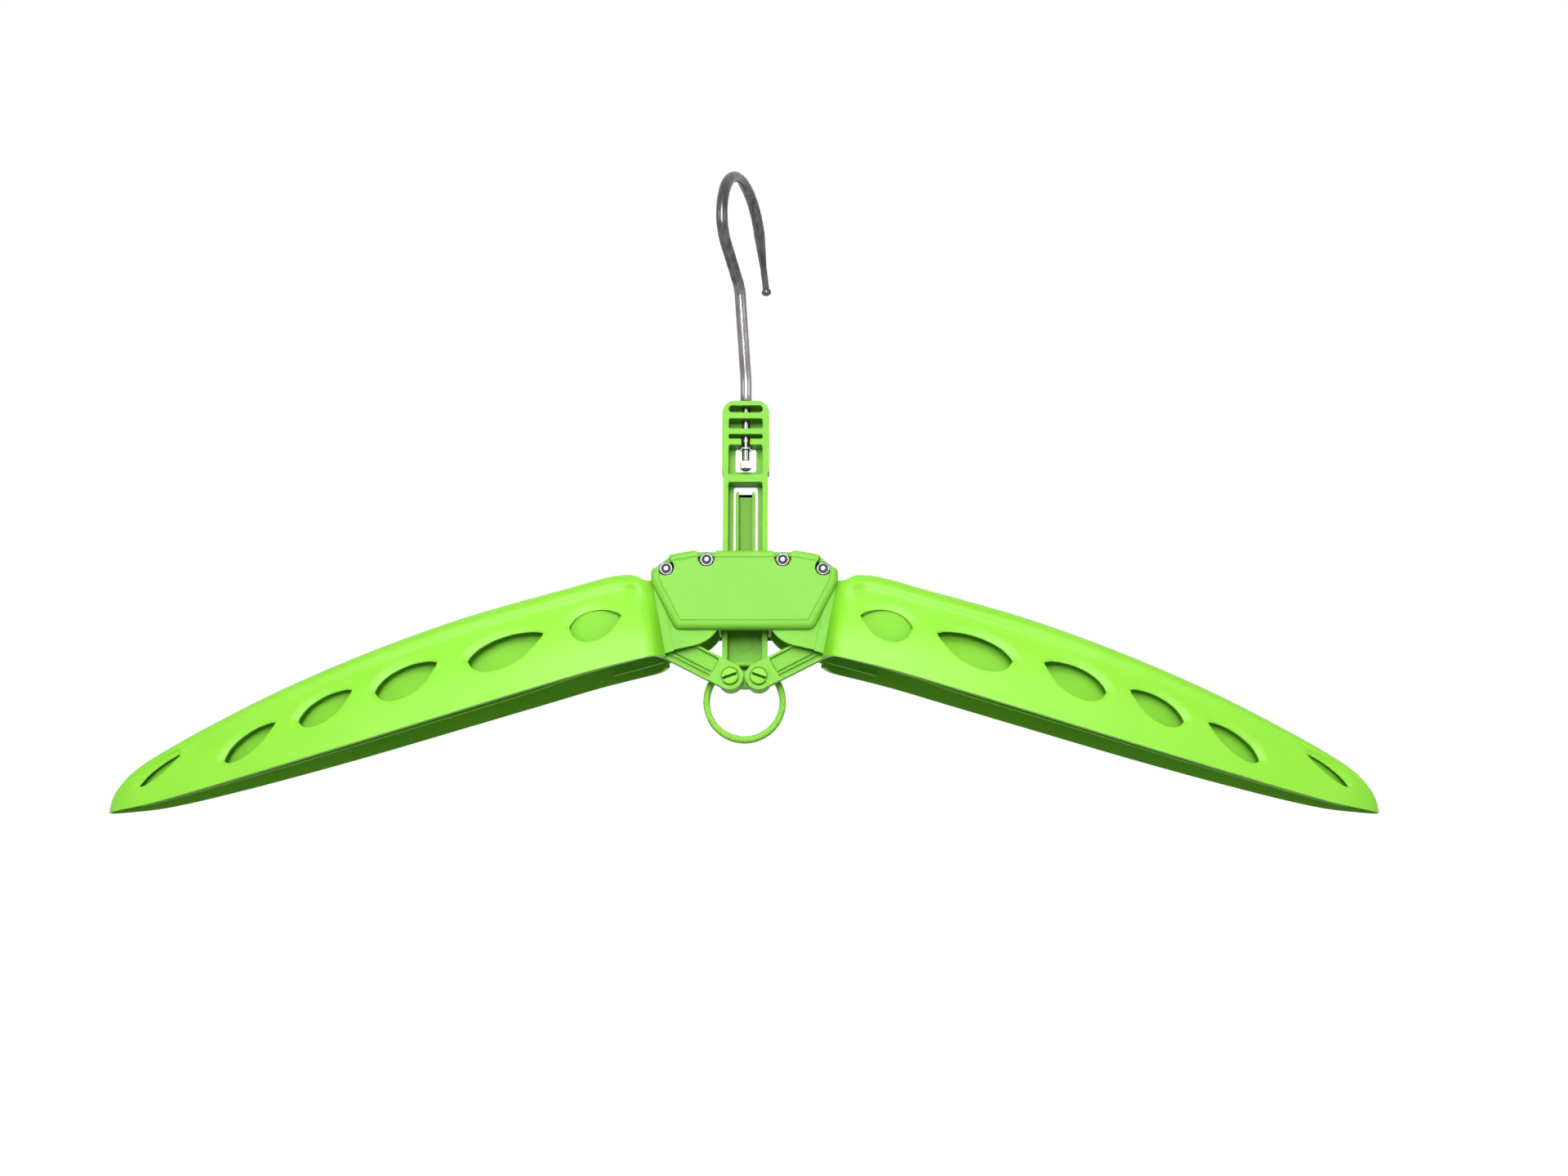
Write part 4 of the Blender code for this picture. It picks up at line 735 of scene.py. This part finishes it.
cover = {
    "depth": 0.0149, "wall": 0.0025, "rim": 0.0018, "fillet": 0.0026, "top": 0.0124, "bottom": -0.0187,
    "bottomX": 0.0266, "sideX": 0.0362, "sideLow": -0.0003, "sideHigh": 0.0050, "shoulderX": 0.0288,
    "shoulderZ": 0.0109, "crestX": 0.0205, "corner": 0.0033, "crestCorner": 0.0040,
    "bolts": ((-0.0305, 0.0054), (-0.0148, 0.0090), (0.0148, 0.0090), (0.0305, 0.0054)), "lean": 36.0,
    "notch": 0.0033, "flare": 14.0, "boss": 0.0029, "seat": 0.0102, "boltHole": 0.0015,
    "slide": 0.0093, "barFront": -0.0048, "guideTop": -0.0126, "guideLow": -0.0180, "guideFront": 0.0099,
    "cheek": 0.0010, "stem": 0.0052, "socket": 0.00325, "socketDeep": 0.0015, "dent": (0.0045, 0.00020),
    "borderWide": 0.0010, "borderHigh": 0.00030, "seam": 0.00015, "cavityStep": 0.0019,
}


def coverCorners():
    c = cover
    return mirrorCorners((
        (c["bottomX"], c["bottom"], c["corner"]), (c["sideX"], c["sideLow"], c["corner"]),
        (c["sideX"], c["sideHigh"], c["corner"]), (c["shoulderX"], c["shoulderZ"], c["corner"]),
        (c["crestX"], c["top"], c["crestCorner"])))


def notchOutline(x, z, radius):
    c = cover
    lean = 0.0
    if abs(x) > c["crestX"]:
        lean = math.radians(c["lean"]) * (1 if x < 0 else -1)
    flare = math.radians(c["flare"])
    outward = math.pi / 2 + lean
    bottom = arcPoints(x, z, radius, outward + math.pi / 2 - flare, outward + 3 * math.pi / 2 + flare, 24)
    right = around(*bottom[-1], 2 * past, outward - flare)
    left = around(*bottom[0], 2 * past, outward + flare)
    return bottom + [right, left]


def buildCover():
    c = cover
    corners = coverCorners()
    rings = [flatRing(roundCorners(corners), -c["seam"])]
    for angle in quarterAngles(7):
        inset = c["fillet"] * (1 - math.cos(angle))
        rings.append(flatRing(roundCorners(corners, inset),
                              -(c["depth"] - c["fillet"] * (1 - math.sin(angle)))))
    for share, high in ((0.15, 0.0), (0.35, 1.0), (0.65, 1.0), (0.95, 0.0)):
        inset = c["fillet"] + c["borderWide"] * share
        rings.append(flatRing(roundCorners(corners, inset), -c["depth"] + c["borderHigh"] * high))
    body = loft(rings)
    cavity = [
        (c["sideX"] + past, c["bottom"] - past, 0), (c["sideX"] + past, c["cavityStep"], 0),
        (c["sideX"] - c["rim"], c["cavityStep"], 0), (c["sideX"] - c["rim"], c["sideHigh"] - c["rim"] / 2, 0),
        (c["shoulderX"] - c["rim"] / 2, c["shoulderZ"] - c["rim"], 0), (c["crestX"], c["top"] - c["rim"], 0)]
    body = cut(body, prism(roundCorners(mirrorCorners(cavity)), -(c["depth"] - c["wall"]), past))
    for x, z in c["bolts"]:
        body = cut(body, prism(notchOutline(x, z, c["notch"]), -clear, -c["seat"]))
        body = fuse(body, turnedY(x, z, ((-c["seat"], c["boss"]), (-c["seam"], c["boss"])), 32))
        body = drilled(body, x, z, c["boltHole"], 24, y1=past)
    # the way for the bar through the top wall, then the guide below it on a stem
    body = cut(body, block(-c["slide"], c["slide"], c["barFront"], past,
                           c["top"] - c["rim"] - past, c["top"] + past))
    body = fuse(body, block(-c["stem"], c["stem"], -(c["depth"] - c["wall"] / 2), -(c["guideFront"] - 0.0005),
                            c["guideLow"], c["guideTop"]))
    body = fuse(body, block(-c["slide"] - c["cheek"], c["slide"] + c["cheek"], -c["guideFront"], -c["seam"],
                            c["guideLow"] + 0.0003, c["guideTop"] - 0.0003))
    body = cut(body, block(-c["slide"], c["slide"], c["barFront"], past,
                           c["guideLow"] - past, c["guideTop"] + past))
    inner = c["depth"] - c["wall"]
    for side in (-1, 1):
        body = drilled(body, side * neck["axleX"], neck["axleZ"], c["socket"], 32,
                       -inner - c["socketDeep"], -inner + past)
    return body


# a faint sink mark in front of each axle's socket
dents = [((side * neck["axleX"], -cover["depth"], lift + neck["axleZ"]), *cover["dent"]) for side in (-1, 1)]
# painted shade and painted sheen: the cover's green is a darker, bluer copy of the arm's green
coverGreen = makePlastic("coverGreen", (0.82, 0.83, 1.70), dents, 0.12)
coverMesh = buildCover()
addPiece("frontCoverShell", coverMesh.copy(), "front_cover", coverGreen, soften=0.00030)
addPiece("rearCoverShell", mirrored(coverMesh, "Y"), "rear_cover", coverGreen,
         soften=0.00030)
coverMesh.free()
print("covers made")


bolt = {
    "radius": 0.00125, "head": 0.0024, "headHigh": 0.0019, "headEdge": 0.0005, "socket": 0.0016,
    "socketDeep": 0.0010, "seat": 0.01045, "proud": 0.0005, "pitch": 0.00045, "thread": 0.00016,
    "threadPast": 0.003, "tip": ((0.0, 0.55), (0.00012, 0.78), (0.00030, 0.86)),
    "nutFlats": 0.0050, "nutHigh": 0.0020, "nutEdge": (0.00055, 0.00035), "nutFull": 0.00005,
    "boreFree": 0.00008, "boreMouth": 0.00045,
    # the dark ring: height before the nut and radius of each turn
    "darkRing": ((-0.00018, 0.00150), (-0.00022, 0.00165), (-0.00022, 0.00185), (-0.00012, 0.00200),
               (0.0003, 0.00200)),
}


def buildBolt(x, z):
    b = bolt
    end = -(b["seat"] + b["nutHigh"] + b["proud"])
    profile = [(end + along, b["radius"] * share) for along, share in b["tip"]]
    y = end + b["pitch"]
    while y < -b["seat"] + b["threadPast"]:
        profile.append((y, b["radius"]))
        profile.append((y + b["pitch"] / 2, b["radius"] - b["thread"]))
        y += b["pitch"]
    profile.append((y, b["radius"]))
    top = b["seat"] + b["headHigh"]
    profile += [(b["seat"], b["radius"]), (b["seat"], b["head"] - 0.0001), (b["seat"] + 0.0001, b["head"])]
    edge = b["headEdge"]
    for angle in quarterAngles(4):
        profile.append((top - edge + edge * math.sin(angle), b["head"] - edge + edge * math.cos(angle)))
    body = turnedY(x, z, profile, 40)
    return cut(body, prism(hexPoints(x, z, b["socket"]), top - b["socketDeep"], top + 0.002))


def buildNut(x, z):
    b = bolt
    back = -b["seat"]
    front = back - b["nutHigh"]
    hexagon = prism(hexPoints(x, z, b["nutFlats"], math.pi / 6), front, back)
    wide = b["nutFlats"] / math.sqrt(3)
    edgeIn, edgeLong = b["nutEdge"]
    full = wide + b["nutFull"]
    crown = turnedY(x, z, ((front, wide - edgeIn), (front + edgeLong, full), (back - edgeLong, full),
                           (back, wide - edgeIn)), 64)
    body = keepCommon(hexagon, crown)
    tight = b["radius"] + b["boreFree"]
    bore = turnedY(x, z, ((front - 0.001, b["radius"] + 0.0013), (front, b["radius"] + b["boreMouth"]),
                          (front + 0.0004, tight), (back + 0.001, tight)), 40)
    return cut(body, bore)


def buildDarkRing(x, z):
    # a dark ring in the mouth of a nut, round the bolt's end
    front = -(bolt["seat"] + bolt["nutHigh"])
    ring = turnedY(x, z, [(front + rise, radius) for rise, radius in bolt["darkRing"]], 40)
    return cut(ring, turnedY(x, z, ((front - 0.001, 0.00140), (front + 0.001, 0.00128)), 32))


for number, (x, z) in enumerate(cover["bolts"], start=1):
    addPiece(f"coverBolt{number}", buildBolt(x, z), f"cover_bolt_{number}", platedSteel,
             sharpAngle=30)
    addPiece(f"coverNut{number}", buildNut(x, z), f"cover_nut_{number}", dullSteel,
             sharpAngle=25)
    addPiece(f"coverNutDarkRing{number}", buildDarkRing(x, z), f"cover_nut_{number}", darkRingGrey,
             sharpAngle=25)
print("fasteners made")


bar = {
    "half": 0.0088, "front": -0.0043, "back": 0.0043, "web": 0.0023, "channel": 0.0068, "top": 0.0760,
    "foot": -0.0300, "head": 0.00935, "headLow": 0.0470, "headCorner": 0.0050,
    "plateRadius": 0.0048, "plateLow": -0.0396, "plateTurn": 140, "pivotX": 0.0055, "pivotZ": -0.0364,
    "pivotHole": 0.0025,
    "pockets": ((0.0711, 0.0741, 0.0014), (0.0644, 0.0687, 0.0007), (0.0602, 0.0622, 0.0007),
                (0.0454, 0.0578, 0.0009), (-0.0335, 0.0424, 0.0009)),
    "nutWindow": (0.0042, 0.0481, 0.0580), "latchWindow": (0.00485, 0.0059, 0.0422), "windowCorner": 0.0010,
    "stem": 0.0018, "ribLow": 0.0576, "ribHigh": 0.0600,
    "ringZ": -0.0451, "ringOuter": 0.0160, "ringInner": 0.0136, "ringHalf": 0.0028, "ringRound": 0.0008,
    "markZ": -0.0212, "markRadius": 0.0035, "markHigh": 0.00035,
}


def slotPoints(half, low, high, corner):
    right = [(half, low, corner), (half, high, corner)]
    return roundCorners(mirrorCorners(right), steps=5)


def buildBar():
    b = bar
    shoulder = b["head"] - b["half"]
    upper = roundCorners(mirrorCorners((
        (b["half"], b["foot"], 0), (b["half"], b["headLow"] - shoulder, 0), (b["head"], b["headLow"], 0),
        (b["head"], b["top"], b["headCorner"]))))
    # the foot swells round the two pins and stays behind the round ends of the links
    dip = math.asin((b["pivotZ"] - b["plateLow"]) / b["plateRadius"])
    foot = arcPoints(-b["pivotX"], b["pivotZ"], b["plateRadius"],
                     math.radians(b["plateTurn"]), 2 * math.pi - dip, 24)
    foot += [(-x, z) for x, z in reversed(foot)]
    outline = foot + upper
    body = prism(outline, b["front"], b["back"])
    for low, high, corner in b["pockets"]:
        body = cut(body, prism(slotPoints(b["channel"], low, high, corner), b["front"] - past, b["web"]))
    for half, low, high in (b["nutWindow"], b["latchWindow"]):
        window = slotPoints(half, low, high, b["windowCorner"])
        body = cut(body, prism(window, b["web"] - past, b["back"] + past))
    # the bore for the hook's stem, open to the front just above the nut's window
    low = b["ribLow"] - b["stem"]
    body = cut(body, turnedZ(((low, b["stem"]), (b["top"] + past, b["stem"])), 32))
    body = cut(body, block(-b["stem"], b["stem"], b["front"] - past, 0, low, b["ribHigh"] + b["stem"] / 2))
    for side in (-1, 1):
        body = drilled(body, side * b["pivotX"], b["pivotZ"], b["pivotHole"])
    mark = turnedY(0, b["markZ"], ((b["web"] - b["markHigh"], b["markRadius"]),
                                   (b["web"] + 0.001, b["markRadius"])))
    return fuse(body, mark)


def buildRing():
    # the pull ring, round edged, standing into the plate between the links
    b = bar
    soft = b["ringRound"]
    outer = []
    inner = []
    for angle in quarterAngles(5):
        y = -b["ringHalf"] + soft * (1 - math.sin(angle))
        outer.append((y, b["ringOuter"] - soft * (1 - math.cos(angle))))
        inner.append((y, b["ringInner"] + soft * (1 - math.cos(angle))))
    outer = outer[::-1] + [(-y, radius) for y, radius in outer]
    inner = inner[::-1] + [(-y, radius) for y, radius in inner]
    inner = [(inner[0][0] - 0.003, inner[0][1])] + inner + [(inner[-1][0] + 0.003, inner[-1][1])]
    return cut(turnedY(0, b["ringZ"], outer, 96), turnedY(0, b["ringZ"], inner, 96))


tongue = {
    "half": 0.0038, "root": 0.0062, "tip": 0.0389, "front": -0.0022, "back": 0.0040, "rib": 0.0013,
    "end": 0.0016, "web": 0.0016, "corner": 0.0009, "rootCorner": 0.0006, "flare": 0.0002, "tipCut": 0.0011,
}


def buildTongue():
    # a flap with side ribs, thinner at its tip; its pocket widens a little towards the tip
    t = tongue
    outline = mirrorCorners(((t["half"], t["root"], 0), (t["half"], t["tip"], t["corner"])))
    body = prism(roundCorners(outline), t["front"], t["back"])
    inner = t["half"] - t["rib"]
    end = t["tip"] + past / 2
    pocket = mirrorCorners(((inner, t["root"] + t["end"], t["rootCorner"]), (inner + t["flare"], end, 0)))
    body = cut(body, prism(roundCorners(pocket, steps=5), t["front"] - past, t["back"] - t["web"]))
    return cut(body, block(-inner, inner, t["front"] - past, t["back"] + 0.001, t["tip"] - t["tipCut"], end))


addPiece("sliderBarBody", buildBar(), "slider_bar", barGreen, soften=0.00028)
addPiece("pullRingBand", buildRing(), "slider_bar", barGreen, sharpAngle=40)
addPiece("latchTongueFlap", buildTongue(), "latch_tongue", tongueGreen, soften=0.00025)
print("slider bar made")


link = {
    "length": 0.0450, "angle": 27.1, "radius": 0.0051, "front": -0.0096, "back": -0.0046,
    # channels along the link: low edge, high edge, depth
    "channels": ((-0.0012, 0.0038, 0.0016), (-0.0026, -0.0018, 0.0010), (-0.0040, -0.0032, 0.0010)),
    "channelStart": 0.0072, "channelCorner": 0.0002, "pinHole": 0.00245, "armHole": 0.00285, "slope": 0.0005,
    "seat": 0.0036, "seatDeep": 0.0008,
}


def stadiumPoints(length, radius):
    return (arcPoints(length, 0, radius, -math.pi / 2, math.pi / 2, 24)
            + arcPoints(0, 0, radius, math.pi / 2, 3 * math.pi / 2, 24))


def buildLink():
    k = link
    body = prism(stadiumPoints(k["length"], k["radius"]), k["front"], k["back"])
    for low, high, deep in k["channels"]:
        rings = []
        slope = min(k["slope"], (high - low) / 4)
        for grow, y in ((slope, k["front"] - 0.001), (slope, k["front"]), (0, k["front"] + deep)):
            corner = k["channelCorner"] + grow
            near = k["channelStart"] - grow
            far = k["length"] - k["channelStart"] + grow
            corners = ((far, high + grow, corner), (near, high + grow, corner), (near, low - grow, corner),
                       (far, low - grow, corner))
            rings.append(flatRing(roundCorners(corners, steps=5), y))
        body = cut(body, loft(rings))
    body = drilled(body, 0, 0, k["seat"], 48, k["front"] - past / 2, k["front"] + k["seatDeep"])
    body = drilled(body, 0, 0, k["pinHole"], 40)
    body = drilled(body, k["length"], 0, k["armHole"], 40)
    return movedTo(body, bar["pivotX"], bar["pivotZ"], math.radians(k["angle"]))


pin = {
    "shank": 0.0022, "head": 0.0032, "headHigh": 0.0009, "headBack": -0.0099, "dome": 0.00018, "crown": 0.86,
    "edge": 0.00045, "slot": 0.0011, "slotDeep": 0.0032, "tilt": 20.0,
    "lip": 0.0028, "lipHigh": 0.0008, "float": 0.0003,
}


def buildPin(side):
    p = pin
    front = p["headBack"] - p["headHigh"]
    crown = p["head"] * p["crown"]
    profile = [(front - p["dome"] * (1 - t * t), crown * t) for t in (0.05, 0.3, 0.55, 0.8, 1.0)]
    for angle in quarterAngles(4)[1:]:
        profile.append((front + p["edge"] * (1 - math.cos(angle)),
                        crown + (p["head"] - crown) * math.sin(angle)))
    tail = bar["back"] + p["float"]
    profile += [(p["headBack"], p["head"]), (p["headBack"], p["shank"]), (tail, p["shank"]), (tail, p["lip"]),
                (tail + p["lipHigh"], p["shank"])]
    body = turnedY(0, 0, profile)
    half = p["slot"] / 2
    slot = block(-0.006, 0.006, front - 0.002, front + p["slotDeep"], -half, half)
    body = cut(body, movedTo(slot, 0, 0, -side * math.radians(p["tilt"])))
    return movedTo(body, side * bar["pivotX"], bar["pivotZ"], 0)


linkMesh = buildLink()
addPiece("rightLinkBar", linkMesh.copy(), "right_link", linkGreen, soften=0.00018)
addPiece("leftLinkBar", mirrored(linkMesh, "X"), "left_link", linkGreen, soften=0.00018)
linkMesh.free()
addPiece("rightSlottedPin", buildPin(1), "right_link_pin", pinGreen, soften=0.00012)
addPiece("leftSlottedPin", buildPin(-1), "left_link_pin", pinGreen, soften=0.00012)
print("links and pins made")


hook = {
    "rod": 0.00233, "stem": 0.0015, "turn": 72.0, "sides": 36, "bendStep": 3.0, "straightStep": 0.003,
    "shoulder": 0.0763, "stemLow": 0.0481, "edge": 0.0003, "start": 0.0008,
    # straight length, then the radius and angle of the bend that follows
    "moves": ((0.0060, 0.0200, 12.6), (0.0324, 0.0092, 40.2), (0.0170, 0.0140, -55.8), (0.0, 0.0241, -154.0),
              (0.0117, 0.0, 0.0)),
    "tipTaper": 0.0015, "tipNeck": 0.00140, "tipNeckLong": 0.0103, "bead": 0.002107, "beadMiddle": 0.0015,
    "beadShare": 0.8,
}


def hookRows():
    # places, headings and radii from the stem to the bead, drawn flat and turned later
    h = hook
    heading = math.pi / 2
    low = h["stemLow"]
    high = h["shoulder"]
    edge = h["edge"]
    rows = [(Vector((0, z)), heading, radius) for z, radius in (
        (low, h["stem"] - edge), (low + edge, h["stem"]), (high, h["stem"]), (high + edge, h["rod"] - edge),
        (high + h["start"], h["rod"]))]
    place = rows[-1][0].copy()
    for straight, radius, bend in h["moves"]:
        if straight > 0:
            start = place.copy()
            along = Vector((math.cos(heading), math.sin(heading)))
            pieces = max(1, round(straight / h["straightStep"]))
            for i in range(1, pieces + 1):
                slim = (h["rod"] - h["tipTaper"]) * i / pieces if bend == 0 else 0.0
                rows.append((start + along * straight * i / pieces, heading, h["rod"] - slim))
            place = start + along * straight
        if bend == 0:
            continue
        angle = math.radians(bend)
        steps = math.ceil(abs(bend) / h["bendStep"])
        centre = place + Vector((-math.sin(heading), math.cos(heading))) * (radius if bend > 0 else -radius)
        start = place.copy()
        for i in range(1, steps + 1):
            turned = angle * i / steps
            rows.append((centre + Matrix.Rotation(turned, 2) @ (start - centre), heading + turned, h["rod"]))
        place = rows[-1][0].copy()
        heading += angle
    ahead = Vector((math.cos(heading), math.sin(heading)))
    neckEnd = h["tipNeckLong"]
    shape = [(0.0002, h["tipTaper"] * 0.99), (0.0005, h["tipNeck"] + 0.0001), (0.0008, h["tipNeck"]),
             (neckEnd, h["tipNeck"])]
    middle = neckEnd + h["beadMiddle"]
    least = [h["tipNeck"] * 0.9] + [0.0] * 6 + [0.0002]  # no row of the bead is thinner than this
    for i, thin in enumerate(least, start=1):
        angle = math.pi * i / 8
        along = h["bead"] * math.cos(angle) * h["beadShare"]
        shape.append((middle - along, max(h["bead"] * math.sin(angle), thin)))
    for distance, radius in shape:
        rows.append((place + ahead * distance, heading, radius))
    return rows


def buildHook():
    h = hook
    spin = math.radians(h["turn"])
    sideways = Vector((math.cos(spin), math.sin(spin), 0))
    across = Vector((-math.sin(spin), math.cos(spin), 0))
    rings = []
    for place, heading, radius in hookRows():
        centre = sideways * place.x + Vector((0, 0, place.y))
        normal = sideways * -math.sin(heading) + Vector((0, 0, math.cos(heading)))
        ring = []
        for i in range(h["sides"]):
            angle = 2 * math.pi * i / h["sides"]
            ring.append(centre + (normal * math.cos(angle) + across * math.sin(angle)) * radius)
        rings.append(ring)
    return loft(rings)


addPiece("hookRod", buildHook(), "hook", rodSteel, sharpAngle=40)

stemFix = {"washer": 0.00295, "washerHigh": 0.0008, "washerTop": 0.0573, "bore": 0.00175, "nutFlats": 0.0044,
           "nutLow": 0.0487, "nutHigh": 0.0034}


def buildHookNut():
    s = stemFix
    low = s["nutLow"]
    high = low + s["nutHigh"]
    wide = s["nutFlats"] / math.sqrt(3)
    hexagon = loft([[(x, y, z) for x, y in hexPoints(0, 0, s["nutFlats"], math.pi / 6)] for z in (low, high)])
    body = keepCommon(hexagon, turnedZ(((low, wide - 0.0004), (low + 0.0003, wide), (high - 0.0007, wide),
                                        (high, wide - 0.0008)), 64))
    return cut(body, turnedZ(((low - 0.001, s["bore"]), (high + 0.001, s["bore"])), 32))


def buildWasher():
    s = stemFix
    low = s["washerTop"] - s["washerHigh"]
    high = s["washerTop"]
    disc = turnedZ(((low, s["washer"] - 0.0001), (low + 0.0001, s["washer"]), (high - 0.0002, s["washer"]),
                    (high, s["washer"] - 0.0002)))
    return cut(disc, turnedZ(((low - 0.001, s["bore"]), (high + 0.001, s["bore"])), 32))


addPiece("stemWasher", buildWasher(), "hook_washer", platedSteel, sharpAngle=30)
addPiece("stemNut", buildHookNut(), "hook_nut", platedSteel, sharpAngle=25)
for side in ("left", "right"):
    frame["nodes"][side + "_arm_link_pin"].material_slots[0].material = platedSteel
    frame["nodes"][side + "_arm_axle"].material_slots[0].material = pinGreen
print("hook made")


studio = {
    "floor": -0.75, "floorSize": 12.0, "floorGlow": 0.90, "floorRough": 0.9, "floorSpeck": (3.0, 2.0),
    "floorTones": ((0.50, 0.50, 0.50, 1), (0.53, 0.53, 0.53, 1)), "floorEdges": (0.3, 0.7),
    "cameraAt": (0.01530, -0.68508, -0.31045), "tilt": 101.85, "lens": 40.76, "sensor": 36.0,
    "clip": (0.01, 50.0), "aimHeight": -0.17,
    # the world's strength, its greys low and high, and the heights between which they blend
    "ambient": 0.18, "greys": (0.02, 0.85), "blend": (-0.4, 0.6),
    # lamps: place, width, height, power, the angle their light keeps within, and the side they point to
    "lamps": (
        ("leftKeyLamp", (-0.05, -1.70, 0.66), 0.90, 0.80, 1.12, 56, -0.20),
        ("rightKeyLamp", (0.05, -1.70, 0.66), 0.90, 0.80, 1.12, 56, 0.20),
        ("fillLamp", (-0.12, -1.80, 0.10), 0.60, 0.56, 1.70, 56, 0.0),
        ("backLamp", (0.0, 1.70, 0.60), 0.90, 0.90, 1.90, 56, 0.0),
        ("leftLamp", (-1.7, -1.0, 0.45), 0.7, 0.7, 0.30, 46, 0.0),
        ("rightLamp", (1.7, -1.0, 0.45), 0.7, 0.7, 0.30, 46, 0.0),
    ),
}


def addRayTest(tree, *kinds):
    # 1 for these kinds of ray, 0 for the others
    path = addNode(tree, "LightPath", {})
    found = path.outputs[f"Is {kinds[0]} Ray"]
    for kind in kinds[1:]:
        sockets = {0: found, 1: path.outputs[f"Is {kind} Ray"]}
        found = addNode(tree, "Math", sockets, operation="MAXIMUM").outputs["Value"]
    return found


def buildWorld():
    # a soft grey dome that shows as plain white
    s = studio
    world = bpy.data.worlds.new("studioWorld")
    bpy.context.scene.world = world
    world.use_nodes = True
    tree = world.node_tree
    tree.nodes.clear()
    coordinates = addNode(tree, "TexCoord", {})
    split = addNode(tree, "SeparateXYZ", {"Vector": coordinates.outputs["Generated"]})
    height = addNode(tree, "MapRange", {
        "Value": split.outputs["Z"], "From Min": s["blend"][0], "From Max": s["blend"][1]})
    low, high = [(grey, grey, grey, 1) for grey in s["greys"]]
    sky = addRamp(tree, height.outputs["Result"], 0.0, 1.0, low, high)
    lit = addNode(tree, "Background", {"Color": sky, "Strength": s["ambient"]})
    seen = addNode(tree, "Background", {"Color": (1, 1, 1, 1), "Strength": 1.0})
    mix = addNode(tree, "MixShader", {
        0: addRayTest(tree, "Camera", "Glossy", "Transmission"),
        1: lit.outputs["Background"], 2: seen.outputs["Background"]})
    addNode(tree, "OutputWorld", {"Surface": mix.outputs["Shader"]})


def buildFloor():
    s = studio
    half = s["floorSize"] / 2
    mesh = bmesh.new()
    mesh.faces.new([mesh.verts.new((x, y, 0)) for x, y in rectPoints(-half, -half, half, half)])
    floor = asObject(mesh, "studioFloor")
    floor.location.z = s["floor"]
    material, tree, shader = newMaterial("paleFloor")
    speck = addNoise(tree, addNode(tree, "TexCoord", {}), *s["floorSpeck"])
    tone = addRamp(tree, speck.outputs["Fac"], *s["floorEdges"], *s["floorTones"])
    glow = addNode(tree, "Math", {0: addRayTest(tree, "Camera", "Glossy"), 1: s["floorGlow"]},
                   operation="MULTIPLY")
    feed(tree, shader, {"Base Color": tone, "Roughness": s["floorRough"], "Emission Color": (1, 1, 1, 1),
                        "Emission Strength": glow.outputs["Value"]})
    floor.data.materials.append(material)


def addLamp(name, place, wide, tall, power, spread, aimX):
    data = bpy.data.lights.new(name, "AREA")
    data.shape = "ELLIPSE"
    data.size = wide
    data.size_y = tall
    data.energy = power
    data.spread = math.radians(spread)
    lamp = bpy.data.objects.new(name, data)
    bpy.context.scene.collection.objects.link(lamp)
    lamp.location = place
    aim = Vector((aimX, 0, studio["aimHeight"])) - lamp.location
    lamp.rotation_euler = aim.to_track_quat("-Z", "Y").to_euler()


def addCamera():
    s = studio
    data = bpy.data.cameras.new("photoCamera")
    data.lens = s["lens"]
    data.sensor_width = s["sensor"]
    data.clip_start, data.clip_end = s["clip"]
    camera = bpy.data.objects.new("photoCamera", data)
    bpy.context.scene.collection.objects.link(camera)
    camera.location = s["cameraAt"]
    camera.rotation_euler = (math.radians(s["tilt"]), 0, 0)
    bpy.context.scene.camera = camera


bpy.context.scene.view_settings.view_transform = "Standard"
buildWorld()
buildFloor()
for row in studio["lamps"]:
    addLamp(*row)
addCamera()
print("studio made")
